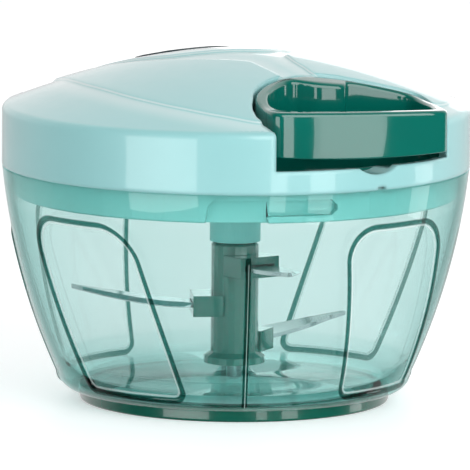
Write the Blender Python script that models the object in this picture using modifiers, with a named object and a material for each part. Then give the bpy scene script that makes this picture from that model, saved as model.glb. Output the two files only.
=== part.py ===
"""Pull-cord food chopper: clear bowl, lid with its winding mechanism, pull handle and blades.

Units are metres, +Z is up and the origin is on the surface that the chopper stands on, below
the middle of the bowl. The front, where the handle is, looks along -Y.
"""

import math

import bmesh
import bpy
from mathutils import Matrix, Vector

# Clearances
GAP = 0.0003                 # between fixed neighbours
RUN_GAP = 0.0004             # between pieces that turn or slide on each other

# Turned resolution
BIG_STEPS = 40
MID_STEPS = 24
SMALL_STEPS = 16

# Widths that set the others
LID_RADIUS = 0.0625
SKIRT_WALL = 0.00145         # thin skirt of the lid that hides the bowl's lip
BOWL_INSET = 0.0001          # the bowl's rim is this much narrower than the lid

# Bowl
BOWL_SHOULDER_Z = 0.0627     # outer shoulder that the lid's skirt comes down to
BOWL_LIP_HEIGHT = 0.0009     # thin lip inside the skirt
BOWL_LIP_WALL = 0.00115
BOWL_MOUTH_DEPTH = 0.0090
BOWL_WALL = 0.0021
BOWL_WAIST_IN = 0.0056       # how far the wall has come in half way down
BOWL_WAIST_Z = 0.0333
BOWL_HEEL_IN = 0.0151        # and where it turns under
BOWL_HEEL_Z = 0.0074
BOWL_CORNER_DROP = 0.0044        # how far the rounded corner drops below the heel
BOWL_FLOOR_UNDER_Z = 0.0042
BOWL_FLOOR = 0.0022
BOWL_FOOT_WALL = 0.0018
BOWL_FOOT_Z = 0.0012
BOWL_BOSS_RADIUS = 0.0058
BOWL_BOSS_TOP_RADIUS = 0.0036
BOWL_BOSS_HEIGHT = 0.0030

# Arched windows and ribs in the bowl's wall
WINDOW_COUNT = 4
WINDOW_TOP_AZIMUTH = 45.7    # degrees from the front towards +X, of the first window's top
WINDOW_LEAN = 9.5            # degrees that its foot lies further round
WINDOW_TOP_HALF = 16.4       # degrees
WINDOW_FOOT_HALF = 18.4
WINDOW_TOP_DROP = 0.0101      # below the bowl's shoulder
WINDOW_BOTTOM_Z = 0.0067
WINDOW_ROUND = 0.0085
WINDOW_DEPTH = 0.0007
RIB_AZIMUTH = 3.6            # degrees, middle of the first solid stretch
RIB_TOP_DROP = 0.0157
RIB_TOP_WIDTH = 0.0006
RIB_FOOT_WIDTH = 0.0015
RIB_HEIGHT = 0.0005

# Bayonet lugs of the bowl and the J grooves that they lock in
LUG_COUNT = 3
LUG_AZIMUTH = 21.2           # degrees, locked
LUG_HALF_ANGLE = 4.2
LUG_DROP = 0.0038            # below the bowl's shoulder
LUG_HEIGHT = 0.0028
LUG_REACH = 0.0016
SLOT_LOW_ANGLE = -7.0        # degrees, the groove's open mouth
SLOT_HIGH_ANGLE = 8.0
CHANNEL_END_ANGLE = 26.6
CHANNEL_HEIGHT = 0.0041

# Non-slip base ring
RING_IN = 0.0059             # how far the ring lies inside the bowl's heel
RING_OUTER_WALL = 0.0020
RING_INNER_WALL = 0.0031
RING_HEIGHT = 0.0039
RING_EDGE = 0.0006

# Bowl pin
PIN_RADIUS = 0.0019
PIN_TOP_Z = 0.0160

# Lid cover
LID_WALL = 0.0022
SKIRT_HEIGHT = 0.0038        # where the thin skirt becomes the full wall
RIM_ROUND = 0.0020
DOME_RISE = 0.0139           # from the upper edge of the side wall to the top
DOME_SHOULDER_IN = 0.0185    # a point on the dome, in from the side wall
DOME_SHOULDER_DROP = 0.0080
DOME_OVER_REEL = 0.0054      # from the reel's cup to the top of the dome
LEAF_HEIGHT = 0.0007         # how far the swirl of raised leaves stands above the dome
SKIRT_NICK_AZIMUTH = 37.6    # small square nick in the skirt's lower edge
SKIRT_NICK_WIDTH = 0.0028
SKIRT_NICK_HEIGHT = 0.0009

# Pull direction, and the frame of the handle: t runs across the pull, s along it
PULL_AZIMUTH = 22.0          # degrees from the front towards +X
PULL_OFFSET = 0.0125         # the cord's line passes this far from the axis
PULL_TRAVEL = 0.280

# Handle
HANDLE_LEFT_T = -0.0124
HANDLE_RIGHT_T = 0.0400
HANDLE_FRONT_RIGHT_T = 0.0362
HANDLE_BACK_S = 0.0282
HANDLE_FRONT_IN = 0.0055     # the front bar lies this far inside the lid's wall
HANDLE_OVER_RIM = 0.0038     # the front bar's top, above the lid's side wall
HANDLE_OVER_SILL = 0.0029   # clear height below the handle for a finger
HANDLE_OVER_DOME = 0.0002    # just under the leaves
HANDLE_BACK_ROUND_SHARE = 0.5    # of the handle's depth
HANDLE_FRONT_BAR = 0.0036
HANDLE_LEFT_BAR = 0.0040
HANDLE_RIGHT_BAR = 0.0030
HANDLE_BACK_BAR = 0.0026
HANDLE_BOSS_BAR = 0.0056     # thicker stretch of the back bar that holds the knot
HANDLE_BOSS_END_T = 0.0176
HANDLE_FRONT_ROUND = 0.0066
HANDLE_RIGHT_ROUND = 0.0050
HANDLE_TIP_ROUND = 0.0014
HANDLE_END_DROP = 0.0014     # the right end lies this far in front of the back bar

# Pocket in the lid for the handle
POCKET_GAP = 0.0006
POCKET_WALL = 0.0016
POCKET_SILL_HEIGHT = 0.0064  # above the bowl's shoulder
POCKET_SIDE_BULGE = 0.0024   # how far the left side swings out beside the handle
POCKET_LEDGE_DROP = 0.0010   # from the sill's lip to the ledge behind it
POCKET_HOLLOW_DEPTH = 0.0046 # and to the floor of the hollow under the handle
DIP_AZIMUTH = 36.6           # finger dip in the sill below the handle
DIP_RADIUS = 0.0110
DIP_DEPTH = 0.0019

# Lid plate
PLUG_WALL = 0.0037
PLUG_DEPTH = 0.0075          # below the bowl's shoulder
PLATE_WEB_DEPTH = 0.0047
PLATE_WEB = 0.0020
FLANGE_THICK = 0.0012
GROOVE_DEPTH = 0.0020
HUB_TUBE_RADIUS = 0.0068
HUB_TUBE_BORE = 0.0053
HUB_TUBE_DEPTH = 0.0202

# Seal between the bowl's lip and the plate's flange
SEAL_THICK = 0.0008
SEAL_TUCK = 0.0004           # how far the seal reaches in over the plug's shoulder

# Lid screws and their bosses
SCREW_AZIMUTHS = (95.0, 155.0, 215.0, 275.0, 335.0)
SCREW_CIRCLE_IN = 0.0145     # the screws stand this far inside the lid's wall
SCREW_SHANK_RADIUS = 0.0012
SCREW_HEAD_RADIUS = 0.0026
SCREW_HEAD_HEIGHT = 0.0016
SCREW_LENGTH = 0.0120
SCREW_BOSS_RADIUS = 0.0034

# Winding mechanism
AXLE_RADIUS = 0.0026
AXLE_SEAT_DEPTH = 0.0040     # below the lid plate's web, into the drive hub
AXLE_TOP_DROP = 0.0039       # below the top of the dome
AXLE_BOSS_RADIUS = 0.0052
REEL_DRUM_RADIUS = 0.0115
REEL_FLANGE_RADIUS = 0.0175
REEL_FLANGE = 0.0014
REEL_SKIRT_HEIGHT = 0.0080   # from the skirt's lower edge to the lower flange
REEL_GROOVE_HEIGHT = 0.0092
REEL_CUP_HEIGHT = 0.0052
REEL_CUP_WALL = 0.0016
REEL_SKIRT_RADIUS = 0.0166
RATCHET_TEETH = 12
RATCHET_TIP_RADIUS = 0.0132
RATCHET_ROOT_RADIUS = 0.0148
RATCHET_START = 9.0          # degrees, so that a tooth meets each pawl's tip
CORD_DIAMETER = 0.0015
CORD_PITCH = 0.0020
CORD_TURNS = 3.6
SPRING_TURNS = 4.0
SPRING_STRIP = 0.0005
SPRING_HEIGHT = 0.0040

# Drive hub, its clutch disc and the pawls
DRIVE_SHAFT_RADIUS = 0.0049
DRIVE_DISC_RADIUS = 0.0125
DRIVE_DISC = 0.0020
DRIVE_SOCKET_RADIUS = 0.0036
DRIVE_SOCKET_DEPTH = 0.0080
DOG_COUNT = 3
DOG_HALF_ANGLE = 11.0
DRIVE_DOG_RADIUS = 0.0024
PAWL_COUNT = 2
PAWL_POST_CIRCLE = 0.0085
PAWL_POST_RADIUS = 0.0011
PAWL_THICK = 0.0024
PAWL_REACH = 0.0141
PAWL_EYE_RADIUS = 0.0024

# Cord from the reel to the handle
EYELET_OVER_GROOVE = 0.0043
EYELET_BORE = 0.0012
EYELET_RADIUS = 0.0021
EYELET_FLANGE_RADIUS = 0.0031
EYELET_FLANGE = 0.0007
KNOT_RADIUS = 0.0019
KNOT_POCKET_RADIUS = 0.0023
KNOT_POCKET_DEPTH = 0.0036

# Blade unit
SPINDLE_RADIUS = 0.0064
SPINDLE_SKIRT_RADIUS = 0.0082
SPINDLE_SKIRT_HEIGHT = 0.0030
SPINDLE_POST_RADIUS = 0.0020
SPINDLE_POST_HEIGHT = 0.0073
SPINDLE_DOG_RADIUS = 0.0033
BLADE_HEIGHTS = (0.0150, 0.0255, 0.0365)
BLADE_AZIMUTHS = (155.0, 275.0, 35.0)
BLADE_NAMES = ("blade_lower", "blade_middle", "blade_upper")
BLADE_CLEARANCE = 0.0043     # from the blades' path to the bowl's heel
BLADE_ROOT_WIDTH = 0.0090
BLADE_BELLY_WIDTH = 0.0125
BLADE_THICK = 0.0011
BLADE_SWEEP = 0.0125         # how far the tip lags behind the root
BLADE_RISE = 0.0030          # how far the tip rises above the root
BLADE_ROOT_RADIUS = 0.0082
ARM_LENGTH = 0.0052
ARM_WIDTH = 0.0124
ARM_HEIGHT = 0.0056

# Plain badge on the back of the dome
BADGE_CENTRE = (-0.0145, 0.0225)
BADGE_RADII = (0.0130, 0.0098)
BADGE_PROUD = 0.0004
BADGE_SUNK = 0.0008

# Worked out from the sizes above
BOWL_RIM_RADIUS = LID_RADIUS - BOWL_INSET
BOWL_LIP_RADIUS = LID_RADIUS - SKIRT_WALL - GAP
BOWL_MOUTH_RADIUS = BOWL_LIP_RADIUS - BOWL_LIP_WALL
BOWL_WAIST = (BOWL_RIM_RADIUS - BOWL_WAIST_IN, BOWL_WAIST_Z)
BOWL_HEEL = (BOWL_RIM_RADIUS - BOWL_HEEL_IN, BOWL_HEEL_Z)
RING_RADIUS = BOWL_HEEL[0] - RING_IN
BOWL_FOOT_RADIUS = RING_RADIUS - RING_OUTER_WALL
RING_INNER_RADIUS = BOWL_FOOT_RADIUS - BOWL_FOOT_WALL - RING_INNER_WALL
DOME_EDGE_RADIUS = LID_RADIUS - RIM_ROUND * 0.85
HANDLE_FRONT_S = LID_RADIUS - HANDLE_FRONT_IN
HANDLE_BACK_ROUND = (HANDLE_FRONT_S - HANDLE_BACK_S) * HANDLE_BACK_ROUND_SHARE
PLUG_RADIUS = BOWL_MOUTH_RADIUS - GAP
FLANGE_RADIUS = BOWL_LIP_RADIUS
SEAL_INNER_RADIUS = PLUG_RADIUS - SEAL_TUCK
SCREW_CIRCLE = LID_RADIUS - SCREW_CIRCLE_IN
BLADE_REACH = BOWL_HEEL[0] - BLADE_CLEARANCE
BEYOND = 0.0040              # how far a cutter reaches past what it cuts
WINDOW_TOP_Z = BOWL_SHOULDER_Z - WINDOW_TOP_DROP
RIB_TOP_Z = BOWL_SHOULDER_Z - RIB_TOP_DROP
LUG_Z = BOWL_SHOULDER_Z - LUG_DROP
CHANNEL_LOW_Z = LUG_Z - LUG_HEIGHT / 2 - 0.0005
CHANNEL_HIGH_Z = CHANNEL_LOW_Z + CHANNEL_HEIGHT
PLUG_BOTTOM_Z = BOWL_SHOULDER_Z - PLUG_DEPTH
PLATE_WEB_Z = BOWL_SHOULDER_Z - PLATE_WEB_DEPTH
HUB_TUBE_BOTTOM_Z = BOWL_SHOULDER_Z - HUB_TUBE_DEPTH
SKIRT_TOP_Z = BOWL_SHOULDER_Z + SKIRT_HEIGHT
POCKET_SILL_Z = BOWL_SHOULDER_Z + POCKET_SILL_HEIGHT
POCKET_HOLLOW_Z = POCKET_SILL_Z - POCKET_HOLLOW_DEPTH
HANDLE_BOTTOM_Z = POCKET_SILL_Z + HANDLE_OVER_SILL
BOWL_FLOOR_TOP_Z = BOWL_FLOOR_UNDER_Z + BOWL_FLOOR
BOWL_BOSS_TOP_Z = BOWL_FLOOR_TOP_Z + BOWL_BOSS_HEIGHT
SEAL_LOW_Z = BOWL_SHOULDER_Z + BOWL_LIP_HEIGHT + GAP
FLANGE_LOW_Z = SEAL_LOW_Z + SEAL_THICK + GAP
PLATE_TOP_Z = PLATE_WEB_Z + PLATE_WEB
LID_BOTTOM_Z = BOWL_SHOULDER_Z + GAP
DISC_LOW_Z = PLATE_TOP_Z + RUN_GAP
DISC_TOP_Z = DISC_LOW_Z + DRIVE_DISC
PAWL_LOW_Z = DISC_TOP_Z + GAP
REEL_SKIRT_LOW_Z = DISC_TOP_Z + RUN_GAP
REEL_LOW_FLANGE_Z = REEL_SKIRT_LOW_Z + REEL_SKIRT_HEIGHT
REEL_GROOVE_LOW_Z = REEL_LOW_FLANGE_Z + REEL_FLANGE
REEL_HIGH_FLANGE_Z = REEL_GROOVE_LOW_Z + REEL_GROOVE_HEIGHT
REEL_CUP_FLOOR_Z = REEL_HIGH_FLANGE_Z + REEL_FLANGE
REEL_CUP_TOP_Z = REEL_CUP_FLOOR_Z + REEL_CUP_HEIGHT
DOME_TOP_Z = REEL_CUP_TOP_Z + DOME_OVER_REEL
RIM_Z = DOME_TOP_Z - DOME_RISE
DOME_SHOULDER = (LID_RADIUS - DOME_SHOULDER_IN, DOME_TOP_Z - DOME_SHOULDER_DROP)
HANDLE_FRONT_TOP_Z = RIM_Z + HANDLE_OVER_RIM
AXLE_BOTTOM_Z = PLATE_WEB_Z - AXLE_SEAT_DEPTH
AXLE_TOP_Z = DOME_TOP_Z - AXLE_TOP_DROP
EYELET_Z = REEL_GROOVE_LOW_Z + EYELET_OVER_GROOVE
DRIVE_SOCKET_TOP_Z = HUB_TUBE_BOTTOM_Z + DRIVE_SOCKET_DEPTH
CORD_START_Z = REEL_GROOVE_LOW_Z + GAP + CORD_DIAMETER / 2
SPINDLE_LOW_Z = BOWL_BOSS_TOP_Z + GAP
SPINDLE_TOP_Z = HUB_TUBE_BOTTOM_Z - GAP
SPINDLE_POST_TOP_Z = SPINDLE_TOP_Z + SPINDLE_POST_HEIGHT
HANDLE_MID_T = PULL_OFFSET

MODEL = None
CUTTERS = None


def clear_scene():
    """Remove the startup objects and make the two collections."""
    global MODEL, CUTTERS
    for item in list(bpy.data.objects):
        bpy.data.objects.remove(item, do_unlink=True)
    MODEL = bpy.data.collections.new("food_chopper")
    CUTTERS = bpy.data.collections.new("cutters")
    for group in (MODEL, CUTTERS):
        bpy.context.scene.collection.children.link(group)


def srgb_to_linear(value):
    """One sRGB channel, 0 to 1, as linear light."""
    if value <= 0.04045:
        return value / 12.92
    return ((value + 0.055) / 1.055) ** 2.4


def make_material(name, hex_colour, roughness, metallic=0.0, transmission=0.0):
    """A Principled BSDF with the piece's own colour and finish."""
    material = bpy.data.materials.new(name)
    material.use_nodes = True
    shader = material.node_tree.nodes["Principled BSDF"]
    channels = [srgb_to_linear(int(hex_colour[i:i + 2], 16) / 255) for i in (0, 2, 4)]
    shader.inputs["Base Color"].default_value = (*channels, 1.0)
    shader.inputs["Roughness"].default_value = roughness
    shader.inputs["Metallic"].default_value = metallic
    shader.inputs["Transmission Weight"].default_value = transmission
    return material


def add_object(name, mesh, material=None, cutter=False):
    """Put a mesh in the scene, either as a piece of the model or as a cutter."""
    item = bpy.data.objects.new(name, mesh)
    (CUTTERS if cutter else MODEL).objects.link(item)
    if material is not None:
        mesh.materials.clear()
        mesh.materials.append(material)
    if cutter:
        item.hide_render = True
        item.display_type = "WIRE"
    return item


def settle(item):
    """Replace an object's mesh with its evaluated one and drop its modifiers."""
    bpy.context.view_layer.update()
    graph = bpy.context.evaluated_depsgraph_get()
    mesh = bpy.data.meshes.new_from_object(item.evaluated_get(graph))
    item.modifiers.clear()
    old = item.data
    item.data = mesh
    bpy.data.meshes.remove(old)
    return item


def combine(item, other, operation):
    """Boolean of item with other, applied, and other removed."""
    modifier = item.modifiers.new(operation.lower(), "BOOLEAN")
    modifier.operation = operation
    modifier.object = other
    modifier.solver = "EXACT"
    settle(item)
    bpy.data.objects.remove(other, do_unlink=True)
    return item


def cut(item, other):
    """Take other away from item."""
    return combine(item, other, "DIFFERENCE")


def join(item, other):
    """Add other to item as one body."""
    return combine(item, other, "UNION")


def keep_inside(item, other):
    """Keep what item and other share."""
    return combine(item, other, "INTERSECT")


def turned(name, profile, steps=MID_STEPS, material=None, closed=False, cutter=False):
    """Turn a profile of (radius, height) points about Z. It runs down the outer side."""
    mesh = bpy.data.meshes.new(name)
    work = bmesh.new()
    points = [work.verts.new((radius, 0.0, height)) for radius, height in profile]
    for first, second in zip(points, points[1:]):
        work.edges.new((first, second))
    if closed:
        work.edges.new((points[-1], points[0]))
    work.to_mesh(mesh)
    work.free()
    item = add_object(name, mesh, material, cutter)
    screw = item.modifiers.new("turn", "SCREW")
    screw.steps = steps
    screw.render_steps = steps
    screw.angle = math.tau
    screw.use_merge_vertices = True
    screw.merge_threshold = 0.00001
    settle(item)
    shade(item)
    return item


def shade(item, angle=35.0):
    """Shade smooth, with creases where faces meet at more than an angle in degrees."""
    item.data.shade_smooth()
    item.data.set_sharp_from_angle(angle=math.radians(angle))


def set_origin(item, point):
    """Move an object's origin to a point and leave its shape where it is."""
    item.data.transform(Matrix.Translation(-Vector(point)))
    item.location = point


def plate_from(name, loops, low, high, material=None, cutter=False):
    """A flat outline, with any holes, between two heights, as a filled 2D curve made a mesh."""
    curve = bpy.data.curves.new(name + "_outline", "CURVE")
    curve.dimensions = "2D"
    curve.fill_mode = "BOTH"
    curve.extrude = (high - low) / 2
    for loop in loops:
        spline = curve.splines.new("POLY")
        spline.points.add(len(loop) - 1)
        for point, (x, y) in zip(spline.points, loop):
            point.co = (x, y, 0.0, 1.0)
        spline.use_cyclic_u = True
    holder = bpy.data.objects.new(name + "_curve", curve)
    MODEL.objects.link(holder)
    bpy.context.view_layer.update()
    graph = bpy.context.evaluated_depsgraph_get()
    mesh = bpy.data.meshes.new_from_object(holder.evaluated_get(graph))
    bpy.data.objects.remove(holder, do_unlink=True)
    mesh.transform(Matrix.Translation((0.0, 0.0, (low + high) / 2)))
    weld(mesh)
    mesh.name = name
    return add_object(name, mesh, material, cutter)


def weld(mesh):
    """Join the loose caps of a mesh made from a curve and point its faces out."""
    work = bmesh.new()
    work.from_mesh(mesh)
    bmesh.ops.remove_doubles(work, verts=work.verts, dist=0.000001)
    bmesh.ops.recalc_face_normals(work, faces=work.faces)
    work.to_mesh(mesh)
    work.free()


def tube(name, points, diameter, material=None, resolution=2):
    """A round tube along a list of points, with filled caps, as a mesh."""
    curve = bpy.data.curves.new(name + "_line", "CURVE")
    curve.dimensions = "3D"
    curve.bevel_depth = diameter / 2
    curve.bevel_resolution = resolution
    curve.use_fill_caps = True
    spline = curve.splines.new("POLY")
    spline.points.add(len(points) - 1)
    for point, place in zip(spline.points, points):
        point.co = (*place, 1.0)
    holder = bpy.data.objects.new(name + "_curve", curve)
    MODEL.objects.link(holder)
    bpy.context.view_layer.update()
    graph = bpy.context.evaluated_depsgraph_get()
    mesh = bpy.data.meshes.new_from_object(holder.evaluated_get(graph))
    bpy.data.objects.remove(holder, do_unlink=True)
    weld(mesh)
    mesh.name = name
    return add_object(name, mesh, material)


def box(name, low, high, turn=0.0, cutter=True, material=None):
    """A box between two corners, turned about Z by an angle in degrees."""
    work = bmesh.new()
    bmesh.ops.create_cube(work, size=1.0)
    low, high = Vector(low), Vector(high)
    size = high - low
    place = Matrix.Translation((low + high) / 2) @ Matrix.Diagonal((*size, 1.0))
    bmesh.ops.transform(work, matrix=Matrix.Rotation(math.radians(turn), 4, "Z") @ place,
                        verts=work.verts)
    mesh = bpy.data.meshes.new(name)
    work.to_mesh(mesh)
    work.free()
    return add_object(name, mesh, material, cutter)


def rod(name, radius, start, end, sides=SMALL_STEPS, end_radius=None, cutter=True, material=None):
    """A cylinder or a cone between two points."""
    start, end = Vector(start), Vector(end)
    line = end - start
    work = bmesh.new()
    bmesh.ops.create_cone(work, cap_ends=True, segments=sides, radius1=radius,
                          radius2=radius if end_radius is None else end_radius,
                          depth=line.length)
    turn = line.to_track_quat("Z", "Y").to_matrix().to_4x4()
    bmesh.ops.transform(work, matrix=Matrix.Translation((start + end) / 2) @ turn,
                        verts=work.verts)
    mesh = bpy.data.meshes.new(name)
    work.to_mesh(mesh)
    work.free()
    return add_object(name, mesh, material, cutter)


def around(azimuth, radius, height=0.0):
    """A point at an azimuth in degrees, measured from the front (-Y) towards +X."""
    angle = math.radians(azimuth)
    return Vector((radius * math.sin(angle), -radius * math.cos(angle), height))


def pull_point(t, s, height=0.0):
    """A point in the handle's frame: t across the pull and s along it, from the axis."""
    angle = math.radians(PULL_AZIMUTH)
    return Vector((t * math.cos(angle) + s * math.sin(angle),
                   t * math.sin(angle) - s * math.cos(angle), height))


def pull_outline(points):
    """Points given as (t, s), as (x, y)."""
    return [tuple(pull_point(t, s)[:2]) for t, s in points]


def arc(centre, radius, start, end, count):
    """Points on an arc, with its angles in degrees."""
    angles = [math.radians(start + (end - start) * i / count) for i in range(count + 1)]
    return [(centre[0] + radius * math.cos(a), centre[1] + radius * math.sin(a)) for a in angles]


def circle_through(first, second, third):
    """Centre and radius of the circle through three points."""
    (ax, ay), (bx, by), (cx, cy) = first, second, third
    d = 2 * (ax * (by - cy) + bx * (cy - ay) + cx * (ay - by))
    a2, b2, c2 = ax * ax + ay * ay, bx * bx + by * by, cx * cx + cy * cy
    ux = (a2 * (by - cy) + b2 * (cy - ay) + c2 * (ay - by)) / d
    uy = (a2 * (cx - bx) + b2 * (ax - cx) + c2 * (bx - ax)) / d
    return (ux, uy), math.hypot(ax - ux, ay - uy)


def smooth_loop(points, spans=4):
    """A closed smooth curve through a few points."""
    result = []
    count = len(points)
    for i in range(count):
        before, start, end, after = (points[(i + k) % count] for k in (-1, 0, 1, 2))
        for step in range(spans):
            u = step / spans
            result.append(tuple(
                0.5 * (2 * b + (c - a) * u + (2 * a - 5 * b + 4 * c - d) * u * u
                       + (3 * b - a - 3 * c + d) * u ** 3)
                for a, b, c, d in zip(before, start, end, after)))
    return result


def bowl_wall_radius(height):
    """Outer radius of the bowl's wall, an arc through rim, waist and heel."""
    (cx, cz), radius = circle_through((BOWL_RIM_RADIUS, BOWL_SHOULDER_Z), BOWL_WAIST, BOWL_HEEL)
    return cx + math.sqrt(radius ** 2 - (height - cz) ** 2)


def bowl_outer_profile(offset=0.0, steps=6):
    """The wall from the shoulder down to the heel, moved outward by offset."""
    heights = [BOWL_SHOULDER_Z + (BOWL_HEEL[1] - BOWL_SHOULDER_Z) * i / steps
               for i in range(steps + 1)]
    return [(bowl_wall_radius(z) + offset, z) for z in heights]


def bowl_corner(offset=0.0, steps=4):
    """The rounded corner from the heel to the underside, as a quarter of an ellipse."""
    low = BOWL_HEEL[1] - BOWL_CORNER_DROP
    inner = RING_RADIUS + GAP + 0.0004
    points = []
    for i in range(1, steps + 1):
        turn = math.radians(90 * i / steps)
        radius = inner + (BOWL_HEEL[0] - inner) * math.cos(turn)
        height = BOWL_HEEL[1] - (BOWL_HEEL[1] - low) * math.sin(turn)
        points.append((radius + offset * math.cos(turn), height - offset * math.sin(turn)))
    return points


def bowl_profile():
    """Closed half section of the bowl, outer side first, ending on the axis."""
    ring_side = RING_RADIUS + GAP
    outer = bowl_outer_profile() + bowl_corner()
    foot = [(ring_side, BOWL_HEEL[1] - BOWL_CORNER_DROP), (ring_side, BOWL_FLOOR_UNDER_Z),
            (BOWL_FOOT_RADIUS, BOWL_FLOOR_UNDER_Z), (BOWL_FOOT_RADIUS, BOWL_FOOT_Z),
            (BOWL_FOOT_RADIUS - BOWL_FOOT_WALL, BOWL_FOOT_Z),
            (BOWL_FOOT_RADIUS - BOWL_FOOT_WALL, BOWL_FLOOR_UNDER_Z), (0.0, BOWL_FLOOR_UNDER_Z)]
    bore = PIN_RADIUS + GAP
    boss = [(0.0, BOWL_FLOOR_UNDER_Z + 0.0011), (bore, BOWL_FLOOR_UNDER_Z + 0.0011),
            (bore, BOWL_BOSS_TOP_Z), (BOWL_BOSS_TOP_RADIUS, BOWL_BOSS_TOP_Z),
            (BOWL_BOSS_RADIUS, BOWL_FLOOR_TOP_Z)]
    mouth_low = BOWL_SHOULDER_Z - BOWL_MOUTH_DEPTH
    inner_heel = (BOWL_HEEL[0] - BOWL_WALL * 1.1, BOWL_HEEL[1] + 0.0042)
    floor_start = inner_heel[0] - 0.0075
    corner = [(floor_start + (inner_heel[0] - floor_start) * math.sin(math.radians(a)),
               inner_heel[1] - (inner_heel[1] - BOWL_FLOOR_TOP_Z) * math.cos(math.radians(a)))
              for a in (0, 35, 70)]
    steps = 4
    inner = []
    for i in range(steps + 1):
        z = inner_heel[1] + (mouth_low - inner_heel[1]) * i / steps
        inner.append((min(bowl_wall_radius(z) - BOWL_WALL, BOWL_MOUTH_RADIUS), z))
    inner[-1] = (BOWL_MOUTH_RADIUS, mouth_low)
    lip_top = BOWL_SHOULDER_Z + BOWL_LIP_HEIGHT
    rim = [(BOWL_MOUTH_RADIUS, lip_top), (BOWL_LIP_RADIUS, lip_top),
           (BOWL_LIP_RADIUS, BOWL_SHOULDER_Z)]
    return outer, foot, boss, corner, inner, rim


def window_outline():
    """Arched window as (angle, height) points, which leans towards +X from its top to its foot."""
    reach = WINDOW_TOP_Z - WINDOW_BOTTOM_Z
    round_angle = math.degrees(WINDOW_ROUND / bowl_wall_radius(WINDOW_TOP_Z))
    flat = [(-1.0, 0.0, 0.0), (1.0, 0.0, 0.0)]
    for turn in (0, 30, 60, 90):
        angle = math.radians(turn)
        flat.append((1.0, -round_angle * (1 - math.cos(angle)),
                     reach - WINDOW_ROUND * (1 - math.sin(angle))))
    flat += [(-side, -shift, up) for side, shift, up in flat[:1:-1]]
    points = []
    for side, shift, up in flat:
        share = up / reach
        half = WINDOW_FOOT_HALF + (WINDOW_TOP_HALF - WINDOW_FOOT_HALF) * share
        points.append((side * half + shift + WINDOW_LEAN * (1 - share), WINDOW_BOTTOM_Z + up))
    return points


def build_bowl(clear_plastic):
    """Clear bowl with its windows, ribs, bayonet lugs, foot and pin boss."""
    outer, foot, boss, corner, inner, rim = bowl_profile()
    bowl = turned("bowl", outer + foot + boss + corner + inner + rim + [outer[0]],
                  BIG_STEPS, clear_plastic)
    weld(bowl.data)
    # A shallow layer of the wall, cut to the arched outline, is taken out for each window
    layer_heights = bowl_outer_profile(BEYOND) + [(BOWL_HEEL[0] + BEYOND, 0.0)]
    layer_inner = [(BOWL_HEEL[0] - WINDOW_DEPTH, 0.0)] + bowl_outer_profile(-WINDOW_DEPTH)[::-1]
    pitch = 360.0 / WINDOW_COUNT
    for index in range(WINDOW_COUNT):
        azimuth = WINDOW_TOP_AZIMUTH + pitch * index
        layer = turned(f"window_layer_{index}", layer_heights + layer_inner, BIG_STEPS,
                       closed=True, cutter=True)
        keep_inside(layer, window_prism(f"window_prism_{index}", azimuth))
        cut(bowl, layer)
    for index in range(WINDOW_COUNT):
        azimuth = RIB_AZIMUTH + pitch * index
        join(bowl, rib_solid(f"rib_{index}", azimuth))
    for index in range(LUG_COUNT):
        azimuth = LUG_AZIMUTH + 360.0 / LUG_COUNT * index
        join(bowl, lug_solid(f"lug_{index}", azimuth))
    shade(bowl)


def radial_prism(name, outline, azimuth, inner, outer):
    """An outline in (angle, height), drawn out from one radius to another."""
    work = bmesh.new()
    rows = [[work.verts.new(around(azimuth + angle, radius, height)) for angle, height in outline]
            for radius in (inner, outer)]
    count = len(outline)
    for i in range(count):
        k = (i + 1) % count
        work.faces.new((rows[0][i], rows[0][k], rows[1][k], rows[1][i]))
    work.faces.new(rows[0][::-1])
    work.faces.new(rows[1])
    bmesh.ops.triangulate(work, faces=[f for f in work.faces if len(f.verts) > 4])
    bmesh.ops.recalc_face_normals(work, faces=work.faces)
    mesh = bpy.data.meshes.new(name)
    work.to_mesh(mesh)
    work.free()
    return add_object(name, mesh, cutter=True)


def window_prism(name, azimuth):
    """The arched outline of a window, drawn out through the wall."""
    return radial_prism(name, window_outline(), azimuth, BOWL_HEEL[0] - 4 * BEYOND,
                        LID_RADIUS + 2 * BEYOND)


def rib_solid(name, azimuth):
    """A thin rib down the middle of a solid stretch of wall, wider at its foot."""
    half_top = math.degrees(RIB_TOP_WIDTH / 2 / bowl_wall_radius(RIB_TOP_Z))
    half_foot = math.degrees(RIB_FOOT_WIDTH / 2 / BOWL_HEEL[0])
    rows = 6
    work = bmesh.new()
    sections = []
    for i in range(rows + 1):
        share = i / rows
        z = RIB_TOP_Z + (BOWL_HEEL[1] - RIB_TOP_Z) * share
        half = half_top + (half_foot - half_top) * share
        radius = bowl_wall_radius(z)
        foot, crest = radius - RIB_HEIGHT * 2, radius + RIB_HEIGHT * min(1.0, share * 4 + 0.2)
        ring = [around(azimuth - half, foot, z), around(azimuth + half, foot, z),
                around(azimuth + half * 0.5, crest, z), around(azimuth - half * 0.5, crest, z)]
        sections.append([work.verts.new(point) for point in ring])
    bridge(work, sections)
    bmesh.ops.recalc_face_normals(work, faces=work.faces)
    mesh = bpy.data.meshes.new(name)
    work.to_mesh(mesh)
    work.free()
    return add_object(name, mesh, cutter=True)


def bridge(work, sections):
    """Skin a list of equal rings and close both ends."""
    count = len(sections[0])
    for first, second in zip(sections, sections[1:]):
        for i in range(count):
            k = (i + 1) % count
            work.faces.new((first[i], first[k], second[k], second[i]))
    work.faces.new(sections[0][::-1])
    work.faces.new(sections[-1])


def lug_solid(name, azimuth):
    """A lens-shaped lug on the inside of the bowl's mouth."""
    points = []
    for step in range(12):
        turn = math.tau * step / 12
        angle = LUG_HALF_ANGLE * math.cos(turn)
        points.append((angle, LUG_Z + LUG_HEIGHT / 2 * math.sin(turn)))
    return radial_prism(name, points, azimuth, BOWL_MOUTH_RADIUS - LUG_REACH,
                        BOWL_MOUTH_RADIUS + 0.0008)


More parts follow.
